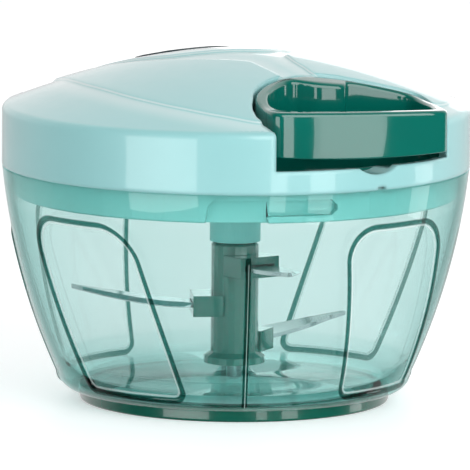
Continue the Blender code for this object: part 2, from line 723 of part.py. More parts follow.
def build_base(rubber, steel):
    """Non-slip ring round the bowl's foot, and the pin that the blades turn on."""
    groove_out = BOWL_FOOT_RADIUS + GAP
    groove_in = BOWL_FOOT_RADIUS - BOWL_FOOT_WALL - GAP
    groove_low = BOWL_FOOT_Z - GAP
    top = min(RING_HEIGHT, BOWL_FLOOR_UNDER_Z - GAP)
    turned("base_ring", [(groove_out, top), (RING_RADIUS - RING_EDGE / 2, top),
                         (RING_RADIUS, top - RING_EDGE / 2), (RING_RADIUS, RING_EDGE),
                         (RING_RADIUS - RING_EDGE, 0.0),
                         (RING_INNER_RADIUS, 0.0), (RING_INNER_RADIUS, top),
                         (groove_in, top), (groove_in, groove_low), (groove_out, groove_low)],
           BIG_STEPS, rubber, closed=True)
    low = BOWL_FLOOR_UNDER_Z + 0.0011 + GAP
    turned("bowl_pin", [(0.0, PIN_TOP_Z), (PIN_RADIUS * 0.6, PIN_TOP_Z - 0.0002),
                        (PIN_RADIUS, PIN_TOP_Z - 0.0009), (PIN_RADIUS, low), (0.0, low)],
           SMALL_STEPS, steel)


def dome_height(radius):
    """Height of the dome above a radius: a flat crown that falls faster towards the edge."""
    slope_end = (DOME_TOP_Z - DOME_SHOULDER[1]) / DOME_SHOULDER[0] ** DOME_POWER
    return DOME_TOP_Z - slope_end * radius ** DOME_POWER


# The dome's power is set so that it meets the rim's round at the edge
DOME_POWER = (math.log((DOME_TOP_Z - RIM_Z) / (DOME_TOP_Z - DOME_SHOULDER[1]))
              / math.log(DOME_EDGE_RADIUS / DOME_SHOULDER[0]))


def dome_profile(lift=0.0, steps=8):
    """Dome from the axis out to the rim's edge, lifted by an offset."""
    radii = [DOME_EDGE_RADIUS * i / steps for i in range(steps + 1)]
    return [(r, dome_height(r) + lift) for r in radii]


def rim_round():
    """Rounded upper edge between the dome and the side wall."""
    centre = (LID_RADIUS - RIM_ROUND, RIM_Z - RIM_ROUND * 0.94)
    return arc(centre, RIM_ROUND, 58, 0, 3)


def lid_section():
    """Outer and inner half section of the cover."""
    outer = dome_profile() + rim_round() + [(LID_RADIUS, LID_BOTTOM_Z)]
    skirt_in = LID_RADIUS - SKIRT_WALL
    wall_in = LID_RADIUS - LID_WALL
    inner = [(skirt_in, LID_BOTTOM_Z), (skirt_in, SKIRT_TOP_Z), (wall_in, SKIRT_TOP_Z),
             (wall_in, RIM_Z - LID_WALL - 0.0006)]
    for i in range(3, -1, -1):
        r = (wall_in - 0.0008) * i / 3
        inner.append((r, dome_height(r) - LID_WALL))
    return outer, inner


def handle_outline(grow=0.0):
    """Outer outline of the handle in the (t, s) frame, moved outward by grow."""
    back, left, right = HANDLE_BACK_S - grow, HANDLE_LEFT_T - grow, HANDLE_RIGHT_T + grow
    front, front_right = HANDLE_FRONT_S + grow, HANDLE_FRONT_RIGHT_T + grow
    back_round, end_round = HANDLE_BACK_ROUND + grow, HANDLE_RIGHT_ROUND + grow
    tip_round, front_round = HANDLE_TIP_ROUND + grow, HANDLE_FRONT_ROUND + grow
    points = arc((left + back_round, back + back_round), back_round, 180, 270, 8)
    points += arc((right - end_round, back + HANDLE_END_DROP + end_round), end_round, 285, 360, 4)
    points += arc((front_right - tip_round, front - tip_round), tip_round, 10, 90, 3)
    points += arc((left + front_round, front - front_round), front_round, 90, 180, 4)
    return points


def finger_hole():
    """Outline of the hole in the handle, with the step of the knot's boss."""
    left = HANDLE_LEFT_T + HANDLE_LEFT_BAR
    right = HANDLE_RIGHT_T - HANDLE_RIGHT_BAR
    back = HANDLE_BACK_S + HANDLE_BACK_BAR
    boss = HANDLE_BACK_S + HANDLE_BOSS_BAR
    front = HANDLE_FRONT_S - HANDLE_FRONT_BAR
    back_round = HANDLE_BACK_ROUND - HANDLE_LEFT_BAR
    step = boss - back
    end_round = HANDLE_RIGHT_ROUND - HANDLE_RIGHT_BAR / 3
    tip_round, front_round = HANDLE_TIP_ROUND * 1.5, HANDLE_FRONT_ROUND
    points = arc((left + back_round, boss - step / 4 + back_round), back_round, 180, 262, 6)
    points += [(HANDLE_MID_T - KNOT_POCKET_RADIUS * 1.6, boss),
               (HANDLE_MID_T + KNOT_POCKET_RADIUS, boss),
               (HANDLE_BOSS_END_T - step / 5, boss - step / 8),
               (HANDLE_BOSS_END_T, boss - step * 0.4),
               (HANDLE_BOSS_END_T + step / 5, back + step / 5),
               (HANDLE_BOSS_END_T + step * 0.7, back)]
    points += arc((right - end_round, back + HANDLE_END_DROP / 2 + end_round), end_round,
                  285, 360, 3)
    points += arc((HANDLE_FRONT_RIGHT_T - HANDLE_RIGHT_BAR - tip_round, front - tip_round),
                  tip_round, 20, 90, 2)
    points += arc((left + front_round, front - front_round), front_round, 90, 180, 4)
    return points


def handle_top_profile():
    """Height of the handle's top over the axis: the dome, then a level brim."""
    brim_radius = DOME_EDGE_RADIUS
    for step in range(100):
        radius = DOME_EDGE_RADIUS * step / 100
        if dome_height(radius) + HANDLE_OVER_DOME < HANDLE_FRONT_TOP_Z:
            brim_radius = radius
            break
    points = [(brim_radius * i / 8, 0.0) for i in range(9)]
    dome = [(r, dome_height(r) + HANDLE_OVER_DOME) for r, _ in points]
    reach = LID_RADIUS + 4 * BEYOND
    return dome + [(reach, HANDLE_FRONT_TOP_Z), (reach, HANDLE_BOTTOM_Z), (0.0, HANDLE_BOTTOM_Z)]


def build_handle(green_plastic):
    """Pull handle: a D-shaped loop whose top follows the dome, with the knot's boss."""
    handle = plate_from("pull_handle", [pull_outline(handle_outline()),
                                        pull_outline(finger_hole())],
                        HANDLE_BOTTOM_Z, DOME_TOP_Z, green_plastic)
    keep_inside(handle, turned("handle_top", handle_top_profile(), BIG_STEPS, cutter=True))
    t = PULL_OFFSET
    cut(handle, rod("cord_hole", CORD_DIAMETER / 2 + GAP,
                    pull_point(t, HANDLE_BACK_S - 2 * BEYOND, EYELET_Z),
                    pull_point(t, HANDLE_BACK_S + 2 * BEYOND, EYELET_Z)))
    mouth = HANDLE_BACK_S + HANDLE_BOSS_BAR
    cut(handle, rod("knot_pocket", KNOT_POCKET_RADIUS,
                    pull_point(t, mouth - KNOT_POCKET_DEPTH, EYELET_Z),
                    pull_point(t, mouth + 0.0030, EYELET_Z), 20))
    shade(handle)


# Outlines of the raised leaves, as shares of the lid's radius
LEAVES = (
    # Front leaf, from its tip at the left to the handle's pocket
    ((-0.784, 0.320), (-0.739, 0.032), (-0.661, -0.230), (-0.555, -0.435),
     (-0.443, -0.592), (-0.315, -0.715), (-0.190, -0.800), (-0.064, -0.862),
     (0.128, -0.912), (0.240, -0.768), (0.256, -0.544), (0.194, -0.422),
     (0.110, -0.309), (0.059, -0.243), (-0.069, -0.211), (-0.195, -0.173),
     (-0.323, -0.104), (-0.453, 0.003), (-0.584, 0.160)),
    # Right leaf, behind the pocket
    ((0.208, 0.000), (0.219, -0.122), (0.270, -0.242), (0.368, -0.384),
     (0.640, -0.416), (0.864, -0.288), (0.920, -0.032), (0.896, 0.192),
     (0.800, 0.384), (0.640, 0.528), (0.464, 0.448), (0.320, 0.256)),
    # Back leaf, which sweeps round behind the middle
    ((-0.640, 0.384), (-0.368, 0.016), (-0.154, -0.048), (0.110, 0.010),
     (0.208, 0.176), (0.320, 0.400), (0.432, 0.608), (0.400, 0.784),
     (0.192, 0.872), (-0.096, 0.880), (-0.384, 0.800), (-0.608, 0.640)),
)


def leaf_outline(leaf):
    """Smooth outline of a leaf at the lid's own radius."""
    return [(x * LID_RADIUS, y * LID_RADIUS) for x, y in smooth_loop(leaf, 2)]


def build_lid_cover(aqua):
    """Cover of the lid: side wall, dome with raised leaves, handle pocket and inner bosses."""
    outer, inner = lid_section()
    cover = turned("lid_cover", outer + inner, BIG_STEPS, aqua)
    weld(cover.data)
    for index, leaf in enumerate(LEAVES):
        layer = turned(f"leaf_layer_{index}",
                       dome_profile(LEAF_HEIGHT) + dome_profile(-0.0008)[::-1], BIG_STEPS,
                       cutter=True)
        weld(layer.data)
        keep_inside(layer, plate_from(f"leaf_{index}", [leaf_outline(leaf)], LID_BOTTOM_Z,
                                      DOME_TOP_Z + BEYOND, cutter=True))
        join(cover, layer)
    # Walls and floor of the pocket, trimmed to the dome before they join the shell
    hollow_out = PLUG_RADIUS - PLUG_WALL - GAP
    tub_low = POCKET_HOLLOW_Z - POCKET_WALL
    solid = turned("dome_solid", dome_profile(-0.0008)
                   + [(LID_RADIUS - 0.0008, RIM_Z - 0.0030), (LID_RADIUS - 0.0008, SKIRT_TOP_Z),
                      (hollow_out, SKIRT_TOP_Z), (hollow_out, tub_low), (0.0, tub_low)],
                   BIG_STEPS, cutter=True)
    tub = plate_from("pocket_tub", [pocket_outline(POCKET_WALL)], tub_low - GAP, DOME_TOP_Z + BEYOND,
                     cutter=True)
    keep_inside(tub, solid)
    join(cover, tub)
    for azimuth in SCREW_AZIMUTHS:
        place = around(azimuth, SCREW_CIRCLE)
        top = dome_height(SCREW_CIRCLE) - LID_WALL / 2
        join(cover, rod("boss", SCREW_BOSS_RADIUS, (place.x, place.y, PLATE_TOP_Z + GAP),
                        (place.x, place.y, top), 12))
    join(cover, rod("axle_boss", AXLE_BOSS_RADIUS, (0.0, 0.0, REEL_CUP_TOP_Z + GAP),
                    (0.0, 0.0, DOME_TOP_Z - LID_WALL / 2), 24))
    cut(cover, rod("axle_bore", AXLE_RADIUS + GAP, (0.0, 0.0, REEL_CUP_TOP_Z - 0.0010),
                   (0.0, 0.0, AXLE_TOP_Z + GAP), SMALL_STEPS))
    for azimuth in SCREW_AZIMUTHS:
        place = around(azimuth, SCREW_CIRCLE)
        cut(cover, rod("boss_bore", SCREW_SHANK_RADIUS + GAP,
                       (place.x, place.y, PLATE_TOP_Z - 0.001),
                       (place.x, place.y, PLATE_WEB_Z + SCREW_LENGTH + GAP * 2), 10))
    cut(cover, pocket_space(hollow_out - POCKET_WALL))
    dip_centre = POCKET_SILL_Z - DIP_DEPTH + DIP_RADIUS
    cut(cover, rod("finger_dip", DIP_RADIUS, around(DIP_AZIMUTH, LID_RADIUS - 2 * BEYOND, dip_centre),
                   around(DIP_AZIMUTH, LID_RADIUS + BEYOND, dip_centre), 32))
    cut(cover, rod("eyelet_hole", EYELET_RADIUS + GAP,
                   pull_point(PULL_OFFSET, HANDLE_BACK_S - 2 * BEYOND, EYELET_Z),
                   pull_point(PULL_OFFSET, HANDLE_BACK_S + BEYOND, EYELET_Z), 16))
    cut(cover, skirt_nick())
    cut(cover, badge_layer("badge_recess", BADGE_SUNK + GAP, 0.0030, GAP))
    shade(cover, 32.0)


def pocket_outline(wall):
    """Pocket round the handle, open at the front, moved outward by a wall."""
    grow = POCKET_GAP + wall
    points = handle_outline(grow)
    left, right = HANDLE_LEFT_T - grow, HANDLE_RIGHT_T + grow
    back_points = [p for p in points if p[1] < HANDLE_BACK_S + HANDLE_BACK_ROUND]
    mouth = POCKET_SIDE_BULGE / 2
    side = [(left - mouth, LID_RADIUS * 1.4), (left - mouth, LID_RADIUS * 0.96),
            (left - POCKET_SIDE_BULGE, LID_RADIUS * 0.84), (left - mouth, LID_RADIUS * 0.74)]
    return pull_outline(back_points + [(right, LID_RADIUS * 1.4)] + side)


def pocket_space(hollow_radius):
    """What is cut out for the pocket: over the sill, a ledge and a hollow under the handle."""
    top = DOME_TOP_Z + 2 * BEYOND
    reach = LID_RADIUS * 1.5
    lip_in = LID_RADIUS - LID_WALL
    ledge = POCKET_SILL_Z - POCKET_LEDGE_DROP
    space = turned("pocket_space", [
        (0.0, top), (reach, top), (reach, POCKET_SILL_Z), (lip_in, POCKET_SILL_Z), (lip_in, ledge),
        (hollow_radius, ledge), (hollow_radius, POCKET_HOLLOW_Z), (0.0, POCKET_HOLLOW_Z)],
        BIG_STEPS, cutter=True)
    return keep_inside(space, plate_from("pocket", [pocket_outline(0.0)], POCKET_HOLLOW_Z - GAP,
                                         top + GAP, cutter=True))


def skirt_nick():
    """Small square nick in the lower edge of the skirt."""
    half = SKIRT_NICK_WIDTH / 2
    return box("skirt_nick", (-half, -LID_RADIUS - BEYOND, LID_BOTTOM_Z - BEYOND),
               (half, -LID_RADIUS + SKIRT_WALL * 0.6, LID_BOTTOM_Z + SKIRT_NICK_HEIGHT),
               SKIRT_NICK_AZIMUTH)


def badge_layer(name, sunk, proud, grow):
    """Layer of the dome under the oval badge."""
    (cx, cy), (rx, ry) = BADGE_CENTRE, BADGE_RADII
    outline = [(cx + (rx + grow) * math.cos(a), cy + (ry + grow) * math.sin(a))
               for a in (math.tau * i / 24 for i in range(24))]
    layer = turned(name, dome_profile(LEAF_HEIGHT + proud)
                   + dome_profile(LEAF_HEIGHT - sunk)[::-1], BIG_STEPS, cutter=True)
    weld(layer.data)
    return keep_inside(layer, plate_from(name + "_oval", [outline], LID_BOTTOM_Z,
                                         DOME_TOP_Z + BEYOND, cutter=True))


def build_badge(dark_plastic):
    """Plain dark oval badge let into the back leaf."""
    layer = badge_layer("top_badge", BADGE_SUNK, BADGE_PROUD, 0.0)
    CUTTERS.objects.unlink(layer)
    MODEL.objects.link(layer)
    layer.hide_render = False
    layer.display_type = "TEXTURED"
    layer.data.materials.clear()
    layer.data.materials.append(dark_plastic)


def groove_cutter(name, azimuth):
    """One J groove of the plug: an open mouth and a channel along the rim."""
    inner, outer = PLUG_RADIUS - GROOVE_DEPTH, PLUG_RADIUS + 0.0020
    mouth = [(SLOT_LOW_ANGLE - 0.8, PLUG_BOTTOM_Z - 0.0010),
             (SLOT_HIGH_ANGLE + 0.8, PLUG_BOTTOM_Z - 0.0010),
             (SLOT_HIGH_ANGLE, CHANNEL_LOW_Z - 0.0003), (SLOT_HIGH_ANGLE + 1.0, CHANNEL_LOW_Z),
             (CHANNEL_END_ANGLE - 1.5, CHANNEL_LOW_Z), (CHANNEL_END_ANGLE, CHANNEL_LOW_Z + 0.0015),
             (CHANNEL_END_ANGLE, CHANNEL_HIGH_Z - 0.0015), (CHANNEL_END_ANGLE - 1.5, CHANNEL_HIGH_Z),
             (SLOT_HIGH_ANGLE, CHANNEL_HIGH_Z), (SLOT_LOW_ANGLE + 1.5, CHANNEL_HIGH_Z),
             (SLOT_LOW_ANGLE, CHANNEL_HIGH_Z - 0.0015)]
    return radial_prism(name, mouth, azimuth, inner, outer)


def build_lid_plate(aqua, silicone, steel):
    """Inner plate with its plug, J grooves and hub tube, the seal, and the lid's screws."""
    seal_seat = SEAL_INNER_RADIUS - GAP
    plug_in = PLUG_RADIUS - PLUG_WALL
    flange_top = FLANGE_LOW_Z + FLANGE_THICK
    plate = turned("lid_plate", [
        (plug_in, flange_top), (FLANGE_RADIUS, flange_top), (FLANGE_RADIUS, FLANGE_LOW_Z),
        (seal_seat, FLANGE_LOW_Z), (seal_seat, SEAL_LOW_Z - GAP), (PLUG_RADIUS, SEAL_LOW_Z - GAP),
        (PLUG_RADIUS, PLUG_BOTTOM_Z + 0.0004), (PLUG_RADIUS - 0.0004, PLUG_BOTTOM_Z),
        (plug_in, PLUG_BOTTOM_Z), (plug_in, PLATE_WEB_Z), (HUB_TUBE_RADIUS + 0.0015, PLATE_WEB_Z),
        (HUB_TUBE_RADIUS, PLATE_WEB_Z - 0.0015), (HUB_TUBE_RADIUS, HUB_TUBE_BOTTOM_Z),
        (HUB_TUBE_BORE, HUB_TUBE_BOTTOM_Z), (HUB_TUBE_BORE, PLATE_TOP_Z),
        (plug_in, PLATE_TOP_Z)], BIG_STEPS, aqua, closed=True)
    for index in range(LUG_COUNT):
        cut(plate, groove_cutter(f"groove_{index}", 360.0 / LUG_COUNT * index))
    for azimuth in SCREW_AZIMUTHS:
        place = around(azimuth, SCREW_CIRCLE)
        cut(plate, rod("screw_hole", SCREW_SHANK_RADIUS + GAP,
                       (place.x, place.y, PLATE_WEB_Z - 0.001),
                       (place.x, place.y, PLATE_TOP_Z + 0.001), 8))
    turned("lid_seal", [(SEAL_INNER_RADIUS, SEAL_LOW_Z + SEAL_THICK),
                        (BOWL_LIP_RADIUS - 0.0001, SEAL_LOW_Z + SEAL_THICK),
                        (BOWL_LIP_RADIUS - 0.0001, SEAL_LOW_Z), (SEAL_INNER_RADIUS, SEAL_LOW_Z)],
           BIG_STEPS, silicone, closed=True)
    for index, azimuth in enumerate(SCREW_AZIMUTHS):
        place = around(azimuth, SCREW_CIRCLE)
        head_top = PLATE_WEB_Z - GAP
        screw = turned(f"lid_screw_{index + 1}", [
            (0.0, PLATE_WEB_Z + SCREW_LENGTH),
            (SCREW_SHANK_RADIUS * 0.5, PLATE_WEB_Z + SCREW_LENGTH),
            (SCREW_SHANK_RADIUS, PLATE_WEB_Z + SCREW_LENGTH - 0.001),
            (SCREW_SHANK_RADIUS, head_top), (SCREW_HEAD_RADIUS, head_top),
            (SCREW_HEAD_RADIUS, head_top - SCREW_HEAD_HEIGHT * 0.6),
            (SCREW_HEAD_RADIUS * 0.6, head_top - SCREW_HEAD_HEIGHT),
            (0.0, head_top - SCREW_HEAD_HEIGHT)], 8, steel)
        screw.location = (place.x, place.y, 0.0)


def ratchet_outline():
    """Saw-toothed inner outline of the reel's skirt."""
    points = []
    pitch = 360.0 / RATCHET_TEETH
    for tooth in range(RATCHET_TEETH):
        start = RATCHET_START + pitch * tooth
        for share, radius in ((0.0, RATCHET_TIP_RADIUS),
                              (0.45, (RATCHET_TIP_RADIUS + RATCHET_ROOT_RADIUS) / 2),
                              (0.94, RATCHET_ROOT_RADIUS)):
            angle = math.radians(start + pitch * share)
            points.append((radius * math.cos(angle), radius * math.sin(angle)))
    return points


def build_reel(white_plastic, cord_fibre, spring_steel, steel):
    """Reel with its ratchet skirt and spring cup, the wound cord, the spring and the axle."""
    bore = AXLE_RADIUS + RUN_GAP
    web_low = REEL_LOW_FLANGE_Z - 0.0016
    cup_in = REEL_FLANGE_RADIUS - REEL_CUP_WALL
    reel = turned("reel", [
        (cup_in, REEL_CUP_TOP_Z), (REEL_FLANGE_RADIUS, REEL_CUP_TOP_Z),
        (REEL_FLANGE_RADIUS, REEL_HIGH_FLANGE_Z), (REEL_DRUM_RADIUS, REEL_HIGH_FLANGE_Z),
        (REEL_DRUM_RADIUS, REEL_GROOVE_LOW_Z), (REEL_FLANGE_RADIUS, REEL_GROOVE_LOW_Z),
        (REEL_FLANGE_RADIUS, REEL_LOW_FLANGE_Z), (REEL_SKIRT_RADIUS, REEL_LOW_FLANGE_Z),
        (REEL_SKIRT_RADIUS, REEL_SKIRT_LOW_Z), (bore, REEL_SKIRT_LOW_Z),
        (bore, REEL_CUP_FLOOR_Z), (cup_in, REEL_CUP_FLOOR_Z)], MID_STEPS, white_plastic, closed=True)
    cut(reel, plate_from("ratchet", [ratchet_outline()], REEL_SKIRT_LOW_Z - 0.001, web_low,
                         cutter=True))
    centre = REEL_DRUM_RADIUS + CORD_DIAMETER / 2 + GAP
    per_turn = 14
    count = int(CORD_TURNS * per_turn)
    start = PULL_AZIMUTH + 90.0
    points = []
    for i in range(count + 1):
        angle = start + 360.0 * i / per_turn + 3.0
        points.append(around(angle, centre, CORD_START_Z + CORD_PITCH * i / per_turn))
    tube("cord_winding", points, CORD_DIAMETER, cord_fibre, 1)
    build_spring(spring_steel, cup_in)
    turned("reel_axle", [(0.0, AXLE_TOP_Z), (AXLE_RADIUS - 0.0003, AXLE_TOP_Z),
                         (AXLE_RADIUS, AXLE_TOP_Z - 0.0003), (AXLE_RADIUS, AXLE_BOTTOM_Z),
                         (0.0, AXLE_BOTTOM_Z)], SMALL_STEPS, steel)


def build_spring(spring_steel, cup_in):
    """Flat spiral return spring in the reel's cup, as one strip."""
    low = REEL_CUP_FLOOR_Z + GAP
    inner = AXLE_RADIUS + GAP + SPRING_STRIP / 2
    outer = cup_in - GAP - SPRING_STRIP / 2
    per_turn = 14
    count = int(SPRING_TURNS * per_turn)
    pitch = (outer - inner) / SPRING_TURNS
    print(f"least gap between turns of the return spring {1000 * (pitch - SPRING_STRIP):.2f} mm")
    sides = ([], [])
    for i in range(count + 1):
        angle = math.tau * i / per_turn
        radius = inner + (outer - inner) * i / count
        for side, step in zip(sides, (-SPRING_STRIP / 2, SPRING_STRIP / 2)):
            side.append(((radius + step) * math.cos(angle), (radius + step) * math.sin(angle)))
    plate_from("return_spring", [sides[0] + sides[1][::-1]], low, low + SPRING_HEIGHT, spring_steel)


def dog_outline(core, reach, half_angle, turn):
    """Round outline with three dogs, outward on a post or inward in a socket."""
    points = []
    for dog in range(DOG_COUNT):
        middle = turn + 360.0 / DOG_COUNT * dog
        next_middle = middle + 360.0 / DOG_COUNT
        points += [(middle + side * half_angle, reach) for side in (-1, 0, 1)]
        span = next_middle - middle - 2 * half_angle
        for step in range(5):
            points.append((middle + half_angle + 0.5 + (span - 1.0) * step / 4, core))
    return [(r * math.cos(math.radians(a)), r * math.sin(math.radians(a))) for a, r in points]


def build_drive(white_plastic, steel):
    """Drive hub with its clutch disc and dog socket, and the two pawls on their posts."""
    bore = AXLE_RADIUS + RUN_GAP
    hub = turned("drive_hub", [
        (0.0, AXLE_BOTTOM_Z - GAP), (bore, AXLE_BOTTOM_Z - GAP), (bore, DISC_TOP_Z),
        (DRIVE_DISC_RADIUS, DISC_TOP_Z), (DRIVE_DISC_RADIUS, DISC_LOW_Z),
        (DRIVE_SHAFT_RADIUS, DISC_LOW_Z), (DRIVE_SHAFT_RADIUS, HUB_TUBE_BOTTOM_Z + GAP),
        (0.0, HUB_TUBE_BOTTOM_Z + GAP)], MID_STEPS, white_plastic)
    socket = plate_from("socket", [dog_outline(DRIVE_SOCKET_RADIUS, DRIVE_DOG_RADIUS,
                                               DOG_HALF_ANGLE, 0.0)],
                        HUB_TUBE_BOTTOM_Z - 0.001, DRIVE_SOCKET_TOP_Z, cutter=True)
    cut(hub, socket)
    for index in range(PAWL_COUNT):
        turn = 360.0 / PAWL_COUNT * index
        place = around(turn, PAWL_POST_CIRCLE)
        join(hub, rod("pawl_post", PAWL_POST_RADIUS, (place.x, place.y, DISC_TOP_Z - 0.0006),
                      (place.x, place.y, PAWL_LOW_Z + PAWL_THICK - 0.0003), 12))
        build_pawl(f"pawl_{index + 1}", turn, steel)


def build_pawl(name, turn, steel):
    """A pawl: an eye round its post and a finger that leans on a ratchet tooth."""
    post = around(turn, PAWL_POST_CIRCLE)
    eye = [(post.x + PAWL_EYE_RADIUS * math.cos(a), post.y + PAWL_EYE_RADIUS * math.sin(a))
           for a in (math.tau * i / 16 for i in range(16))]
    hole = [(post.x + (PAWL_POST_RADIUS + GAP) * math.cos(a),
             post.y + (PAWL_POST_RADIUS + GAP) * math.sin(a))
            for a in (math.tau * i / 12 for i in range(12))]
    pawl = plate_from(name, [eye], PAWL_LOW_Z, PAWL_LOW_Z + PAWL_THICK, steel)
    tip = around(turn + 33.0, PAWL_REACH)
    finger = [tuple(around(turn - 4.0, PAWL_POST_CIRCLE + 0.0019)[:2]),
              tuple(around(turn + 12.0, PAWL_POST_CIRCLE - 0.0016)[:2]),
              tuple(around(turn + 32.0, PAWL_REACH - 0.0028)[:2]),
              tuple(tip[:2]), tuple(around(turn + 26.0, PAWL_REACH - 0.0013)[:2])]
    join(pawl, plate_from(name + "_finger", [finger], PAWL_LOW_Z, PAWL_LOW_Z + PAWL_THICK,
                          cutter=True))
    cut(pawl, plate_from(name + "_hole", [hole], PAWL_LOW_Z - 0.001,
                         PAWL_LOW_Z + PAWL_THICK + 0.001, cutter=True))
    set_origin(pawl, (post.x, post.y, PAWL_LOW_Z))


def build_cord(cord_fibre, steel):
    """Cord from the reel through the eyelet to its knot in the handle's boss."""
    t = PULL_OFFSET
    wall_back = HANDLE_BACK_S - POCKET_GAP - POCKET_WALL
    wall_front = HANDLE_BACK_S - POCKET_GAP
    tube_ring("cord_eyelet", t, wall_back, wall_front, steel)
    knot_s = HANDLE_BACK_S + HANDLE_BOSS_BAR - KNOT_POCKET_DEPTH + GAP + KNOT_RADIUS
    drop = EYELET_Z - CORD_START_Z
    points = [pull_point(t, wall_back * way, CORD_START_Z + drop * rise)
              for way, rise in ((0.02, 0.0), (0.31, 0.22), (0.62, 0.62), (0.91, 1.0))]
    points += [pull_point(t, wall_front, EYELET_Z), pull_point(t, knot_s, EYELET_Z)]
    run = tube("cord_run", points, CORD_DIAMETER, cord_fibre, 2)
    knot = rod("knot_core", KNOT_RADIUS, pull_point(t, knot_s - 0.0001, EYELET_Z),
               pull_point(t, knot_s + 0.0001, EYELET_Z))
    work = bmesh.new()
    bmesh.ops.create_uvsphere(work, u_segments=12, v_segments=7, radius=KNOT_RADIUS)
    bmesh.ops.transform(work, matrix=Matrix.Translation(pull_point(t, knot_s, EYELET_Z)),
                        verts=work.verts)
    work.to_mesh(knot.data)
    work.free()
    join(run, knot)


def tube_ring(name, t, back, front, steel):
    """Flanged ferrule through the pocket's back wall."""
    profile = [(EYELET_BORE, 0.0), (EYELET_FLANGE_RADIUS, 0.0),
               (EYELET_FLANGE_RADIUS, -EYELET_FLANGE), (EYELET_RADIUS, -EYELET_FLANGE),
               (EYELET_RADIUS, -EYELET_FLANGE - (front - back) - 0.0002),
               (EYELET_BORE, -EYELET_FLANGE - (front - back) - 0.0002)]
    ring = turned(name, profile, 12, steel, closed=True)
    # The ferrule's flange is on the reel's side of the wall
    direction = pull_point(0.0, -1.0)
    turn = Vector(direction).to_track_quat("Z", "Y").to_matrix().to_4x4()
    place = pull_point(t, back - EYELET_FLANGE - GAP, EYELET_Z)
    ring.matrix_world = Matrix.Translation(place) @ turn


def build_blades(green_plastic, blade_steel):
    """Blade spindle with its arms and dog post, and the three curved blades."""
    bore = PIN_RADIUS + RUN_GAP
    spindle = turned("blade_spindle", [
        (0.0, SPINDLE_TOP_Z), (SPINDLE_RADIUS - 0.0006, SPINDLE_TOP_Z),
        (SPINDLE_RADIUS, SPINDLE_TOP_Z - 0.0006),
        (SPINDLE_RADIUS, SPINDLE_LOW_Z + SPINDLE_SKIRT_HEIGHT),
        (SPINDLE_SKIRT_RADIUS, SPINDLE_LOW_Z + SPINDLE_SKIRT_HEIGHT - 0.0012),
        (SPINDLE_SKIRT_RADIUS, SPINDLE_LOW_Z), (bore, SPINDLE_LOW_Z), (bore, PIN_TOP_Z + GAP),
        (0.0, PIN_TOP_Z + 0.0010)], MID_STEPS, green_plastic)
    post = plate_from("post", [dog_outline(SPINDLE_POST_RADIUS, SPINDLE_DOG_RADIUS,
                                           DOG_HALF_ANGLE, 60.0)],
                      SPINDLE_TOP_Z - 0.0006, SPINDLE_POST_TOP_Z, cutter=True)
    join(spindle, post)
    for name, height, azimuth in zip(BLADE_NAMES, BLADE_HEIGHTS, BLADE_AZIMUTHS):
        half = ARM_WIDTH / 2
        arm = box("arm", (-half, -(SPINDLE_RADIUS + ARM_LENGTH), height - ARM_HEIGHT / 2),
                  (half, -SPINDLE_RADIUS * 0.55, height + ARM_HEIGHT / 2), azimuth)
        join(spindle, arm)
        slot_half = BLADE_ROOT_WIDTH / 2 + GAP
        slot = box("slot", (-slot_half, -(SPINDLE_RADIUS + ARM_LENGTH + 0.004),
                            height - BLADE_THICK / 2 - GAP),
                   (slot_half, -(BLADE_ROOT_RADIUS - GAP), height + BLADE_THICK / 2 + GAP), azimuth)
        cut(spindle, slot)
        build_blade(name, height, azimuth, blade_steel)
    shade(spindle)


def build_blade(name, height, azimuth, blade_steel):
    """A curved blade: a flat tang in the arm, then a belly that sweeps back and rises."""
    turn = Matrix.Rotation(math.radians(azimuth), 4, "Z")
    arm_end = SPINDLE_RADIUS + ARM_LENGTH
    stations = 12
    work = bmesh.new()
    rings = []
    for i in range(stations + 1):
        share = i / stations
        radius = BLADE_ROOT_RADIUS + (BLADE_REACH - BLADE_ROOT_RADIUS) * share
        past_arm = max(0.0, (radius - arm_end - 0.0006) / (BLADE_REACH - arm_end - 0.0006))
        sweep = BLADE_SWEEP * past_arm ** 1.8
        rise = BLADE_RISE * past_arm ** 1.3
        grown = BLADE_ROOT_WIDTH + (BLADE_BELLY_WIDTH - BLADE_ROOT_WIDTH) * math.sin(
            math.pi * min(1.0, past_arm * 1.25)) ** 0.8 if past_arm else BLADE_ROOT_WIDTH
        width = grown * (1.0 - 0.82 * past_arm ** 3.2)
        half, thick = width / 2, BLADE_THICK / 2
        grind = min(0.0035, width * 0.35) if past_arm else 0.0
        back, edge = -half - sweep, half - sweep
        z = height + rise
        section = [(back, z - thick), (back, z + thick), (edge - grind, z + thick),
                   (edge, z - thick * (0.5 if past_arm else -1.0)), (edge, z - thick)]
        if not past_arm:
            section = [(back, z - thick), (back, z + thick), (edge - 0.0008, z + thick),
                       (edge, z + thick), (edge, z - thick)]
        rings.append([work.verts.new(turn @ Vector((x, -radius, zz))) for x, zz in section])
    bridge(work, rings)
    bmesh.ops.recalc_face_normals(work, faces=work.faces)
    mesh = bpy.data.meshes.new(name)
    work.to_mesh(mesh)
    work.free()
    return add_object(name, mesh, blade_steel)


